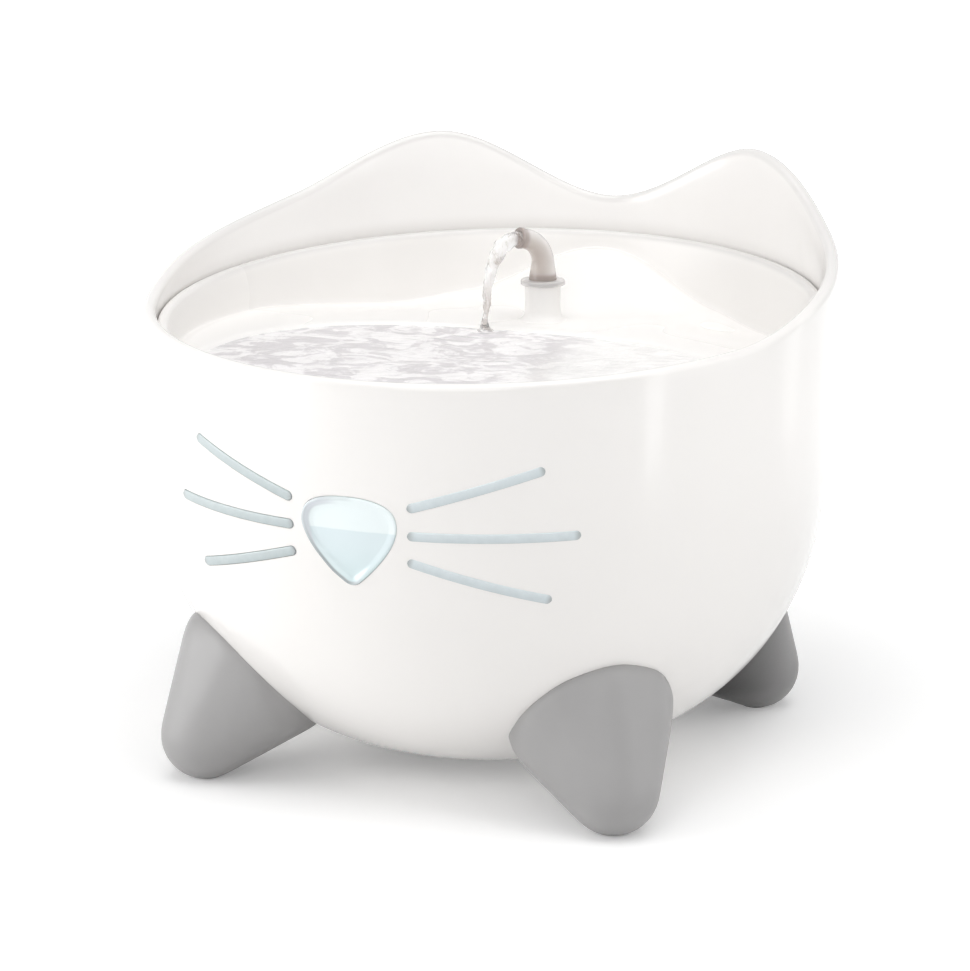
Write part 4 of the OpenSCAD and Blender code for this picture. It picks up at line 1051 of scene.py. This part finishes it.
# %% Finishes of the water
def pool_water(name):
    finish = Finish(name)
    swirl = finish.cloud(70.0, 4.0, 0.62, 1.2, (1.0, 1.2, 1.0))
    fine = finish.cloud(240.0, 3.0, 0.55, 0.6, (1.0, 1.6, 1.0))
    # Painted reflections: grey patches, and towards the hill on the right an almost even painted reflection
    # of the white wall.
    hill_reflection = finish.axis("X").ramp(0.012, 0.036)
    reflection_patches = (swirl * 0.8 + fine * 0.2).ramp(0.44, 0.56)
    tone = finish.between(hill_reflection, finish.between(reflection_patches, (0.775, 0.748, 0.772), (0.985, 0.970, 0.975)),
                          (1.0, 0.99, 0.98))
    surface = finish.plastic(tone, fine.ramp(0.3, 0.7, 0.03, 0.10),
                             finish.relief(fine, 0.0004, 0.5), IOR=1.33)
    clear = finish.node("ShaderNodeBsdfTransparent", sockets={"Color": (0.97, 0.975, 0.98, 1.0)})
    cover = reflection_patches.ramp(0.0, 1.0, 0.90, 0.97)
    return finish.done(finish.node("ShaderNodeMixShader", sockets={
        0: cover, 1: clear.outputs[0], 2: surface}).outputs[0])

def falling_water(name):
    finish = Finish(name)
    streak = finish.cloud(330.0, 3.0, 0.6, 0.8, (1.0, 1.0, 0.35))
    # Painted reflections: brownish streaks and white ones over clear water.
    return finish.done(finish.plastic(
        finish.between(streak.ramp(0.36, 0.52), (0.66, 0.61, 0.58), (1.0, 1.0, 1.0)),
        streak.ramp(0.3, 0.7, 0.0, 0.06), finish.relief(streak, 0.0006, 0.6),
        IOR=1.33, Transmission_Weight=0.72))

pool_finish = pool_water("pool_water")
stream_finish = falling_water("falling_water")

# %% Surface of the pool
WATER_LEVEL = 127.0
LANDING = Vector((-12.0, 24.8, WATER_LEVEL))

def ripple(x, y):
    """Height of the water over its level."""
    away = math.hypot(x - LANDING.x, y - LANDING.y)
    rings = 0.42 * math.cos(away / 1.15) * math.exp(-away / 16.0)
    swell = 0.16 * noise.noise(Vector((x * 0.075, y * 0.13, 0.3)))
    chop = 0.13 * noise.noise(Vector((x * 0.21, y * 0.36, 4.1)))
    return rings + swell + chop

def make_pool():
    bm = turn(section([(i / 70.0, 0.0) for i in range(71)]), 200)
    w, l, power = POOL["half_w"] - 0.45, POOL["half_l"] - 0.45, POOL["power"]
    for v in bm.verts:
        rho, phi = math.hypot(v.co.x, v.co.y), math.atan2(v.co.y, v.co.x)
        c, s = math.cos(phi), math.sin(phi)
        x = w * rho * math.copysign(abs(c) ** (2 / power), c)
        y = POOL["y"] + l * rho * math.copysign(abs(s) ** (2 / power), s)
        calm = 1.0 if rho < 0.97 else max(0.0, (1.0 - rho) / 0.03)
        v.co = (x, y, WATER_LEVEL + ripple(x, y) * calm)
    pull_edge(bm, (0, 0, -0.5))
    bmesh.ops.recalc_face_normals(bm, faces=bm.faces)
    return bm

water = make_pool()
if max(water.faces, key=lambda f: f.calc_area()).normal.z < 0:
    bmesh.ops.reverse_faces(water, faces=water.faces)
keep("pool_water_surface", water, pool_finish, "dish", sharp=80.0)

# %% The stream
def stream_point(u, z):
    """A point of the stream, by its distance from the spout's axis and its height."""
    return Vector((SPOUT_WAY[0] * u, PILLAR_Y + SPOUT_WAY[1] * u, z))

# Distance from the spout's axis, height, radius
STREAM = [
    (8.6, 155.1, 2.0), (11.0, 155.3, 2.15), (13.6, 154.8, 2.35), (16.0, 153.3, 2.4), (18.0, 150.9, 2.25),
    (19.6, 147.9, 1.95), (20.8, 144.4, 1.65), (21.6, 140.6, 1.4), (22.1, 136.6, 1.2), (22.4, 132.6, 1.1),
    (22.6, 129.6, 1.2), (22.6, 127.6, 1.7), (22.6, 126.9, 2.6)]

def smooth_path(points, steps):
    """Points on a smooth curve through the given ones."""
    ends = [points[0], *points, points[-1]]
    return [between_points(*ends[i:i + 4], k / steps)
            for i in range(len(points) - 1) for k in range(steps)] + [points[-1]]

def make_stream():
    path = smooth_path(STREAM, 6)
    places = [stream_point(u, z) for u, z, _ in path]
    stations = []
    for i, (place, (_, _, radius)) in enumerate(zip(places, path)):
        ahead = places[min(i + 1, len(places) - 1)] - places[max(i - 1, 0)]
        turned = ahead.to_track_quat("Z", "Y").to_matrix().to_4x4()
        stations.append((Matrix.Translation(place) @ turned, radius))
    bm = sweep(stations, segments=32)
    for v in bm.verts:
        wobble = noise.noise(v.co * 0.42) * 0.55 + noise.noise(v.co * 1.1) * 0.22
        v.co += v.normal * wobble
    return bm

stream = make_stream()
stream.normal_update()
keep("water_stream", stream, stream_finish, "spout", sharp=80.0)

# %% [markdown]
# ## Finishes of the hidden parts
# The pump, the filter and the lamp behind the nose are seen only when the fountain is taken apart, but
# each still gets the finish of its real material: granules for the carbon, pores for the foam, stacked
# sheets for the stator, turns of wire for the coil.

# %% Hidden finishes
def rubbery(name, dark, light, rough=(0.62, 0.80)):
    finish = Finish(name)
    grain = finish.cloud(900.0, 3.0)
    return finish.done(finish.plastic(
        finish.between(grain.ramp(0.3, 0.7), dark, light), grain.ramp(0.3, 0.7, *rough),
        finish.relief(grain, 0.0001, 0.4)))

def moulded(name, dark, light, rough=(0.34, 0.46), grain_scale=1500.0, **constants):
    finish = Finish(name)
    grain = finish.cloud(grain_scale, 2.0)
    drift = finish.cloud(30.0, 2.0)
    return finish.done(finish.plastic(
        finish.between(drift.ramp(0.3, 0.7), dark, light), drift.ramp(0.3, 0.7, *rough),
        finish.relief(grain, 0.00006, 0.3), **constants))

def metal(name, dark, light, stretch, rough=(0.22, 0.38)):
    finish = Finish(name)
    brushed = finish.cloud(700.0, 4.0, 0.6, 0.0, stretch)
    return finish.done(finish.plastic(
        finish.between(brushed.ramp(0.3, 0.7), dark, light), brushed.ramp(0.3, 0.7, *rough),
        finish.relief(brushed, 0.00004, 0.4), Metallic=1.0))

def banded(name, dark, light, letter, pitch, rough=0.42):
    """Parallel bands across one axis, such as stacked sheets or turns of wire."""
    finish = Finish(name)
    wave = (finish.axis(letter) * (2 * math.pi / pitch)).sine().ramp(-1.0, 1.0)
    stain = finish.cloud(120.0, 3.0)
    tone = finish.between(wave, dark, light)
    return finish.done(finish.plastic(
        finish.between(stain.ramp(0.35, 0.8) * 0.3, tone, dark),
        stain.ramp(0.3, 0.7, rough - 0.08, rough + 0.08),
        finish.relief(wave, 0.00015, 0.8), Metallic=1.0))

def granules(name):
    finish = Finish(name)
    grains = finish.cells(620.0)
    shade = finish.cloud(300.0, 2.0)
    return finish.done(finish.plastic(
        finish.between(shade.ramp(0.3, 0.7), (0.018, 0.018, 0.019), (0.06, 0.06, 0.062)),
        shade.ramp(0.3, 0.7, 0.45, 0.7), finish.relief(1.0 - grains, 0.0009, 0.9)))

def open_foam(name):
    finish = Finish(name)
    pores = finish.cells(900.0)
    holes = pores.ramp(0.05, 0.45)
    return finish.done(finish.plastic(
        finish.between(holes, (0.60, 0.70, 0.82), (0.24, 0.33, 0.46)),
        holes.ramp(0.0, 1.0, 0.75, 0.9), finish.relief(1.0 - pores, 0.0006, 0.9), Sheen_Weight=0.2))

def circuit_board(name):
    finish = Finish(name)
    tracks = (finish.axis("X") * 2600.0).sine() + (finish.axis("Z") * 1900.0).sine()
    weave = finish.cloud(1200.0, 2.0)
    return finish.done(finish.plastic(
        finish.between(tracks.ramp(0.9, 1.1), (0.02, 0.17, 0.07), (0.05, 0.27, 0.12)),
        weave.ramp(0.3, 0.7, 0.30, 0.45), finish.relief(tracks.ramp(0.9, 1.1), 0.00005, 0.6)))

FINISH_OF_SLOT = {
    "rubber": rubbery("rubber", (0.030, 0.030, 0.033), (0.060, 0.060, 0.064)),
    "silicone": rubbery("silicone", (0.70, 0.72, 0.73), (0.80, 0.82, 0.83), (0.38, 0.50)),
    "screw_steel": metal("screw_steel", (0.50, 0.50, 0.51), (0.68, 0.68, 0.69), (1, 1, 6)),
    "shaft_steel": metal("shaft_steel", (0.58, 0.58, 0.59), (0.74, 0.74, 0.75), (6, 1, 6), (0.12, 0.22)),
    "stator_steel": banded("stator_steel", (0.20, 0.20, 0.21), (0.42, 0.42, 0.43), "Y", 0.0005),
    "copper_wire": banded("copper_wire", (0.38, 0.15, 0.06), (0.82, 0.42, 0.22), "X", 0.0004, rough=0.3),
    "magnet": metal("magnet", (0.12, 0.12, 0.13), (0.20, 0.20, 0.21), (1, 4, 1), (0.35, 0.5)),
    "carbon": granules("carbon"),
    "foam": open_foam("foam"),
    "chamber_clear": moulded("chamber_clear", (0.70, 0.755, 0.80), (0.78, 0.83, 0.87), (0.10, 0.20), 700.0,
                             Transmission_Weight=0.35, IOR=1.46),
    "pump_plastic": moulded("pump_plastic", (0.045, 0.045, 0.052), (0.070, 0.070, 0.078)),
    "impeller_plastic": moulded("impeller_plastic", (0.84, 0.84, 0.83), (0.90, 0.90, 0.89)),
    "led_lens": moulded("led_lens", (0.84, 0.88, 0.92), (0.95, 0.97, 0.98), (0.05, 0.12), 700.0),
    "board": circuit_board("board"),
    "white_plastic": basin_white,
    "foot_plastic": foot_grey,
    "blue_window": nose_blue,
    "spout_clear": spout_smoke,
}

# %% Put the finishes on the parts of the mechanism
for name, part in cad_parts.items():
    slot_name = part.material_slots[0].material.name.split(".")[0]
    part.material_slots[0].material = FINISH_OF_SLOT[slot_name]
print("Parts finished:", len(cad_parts))
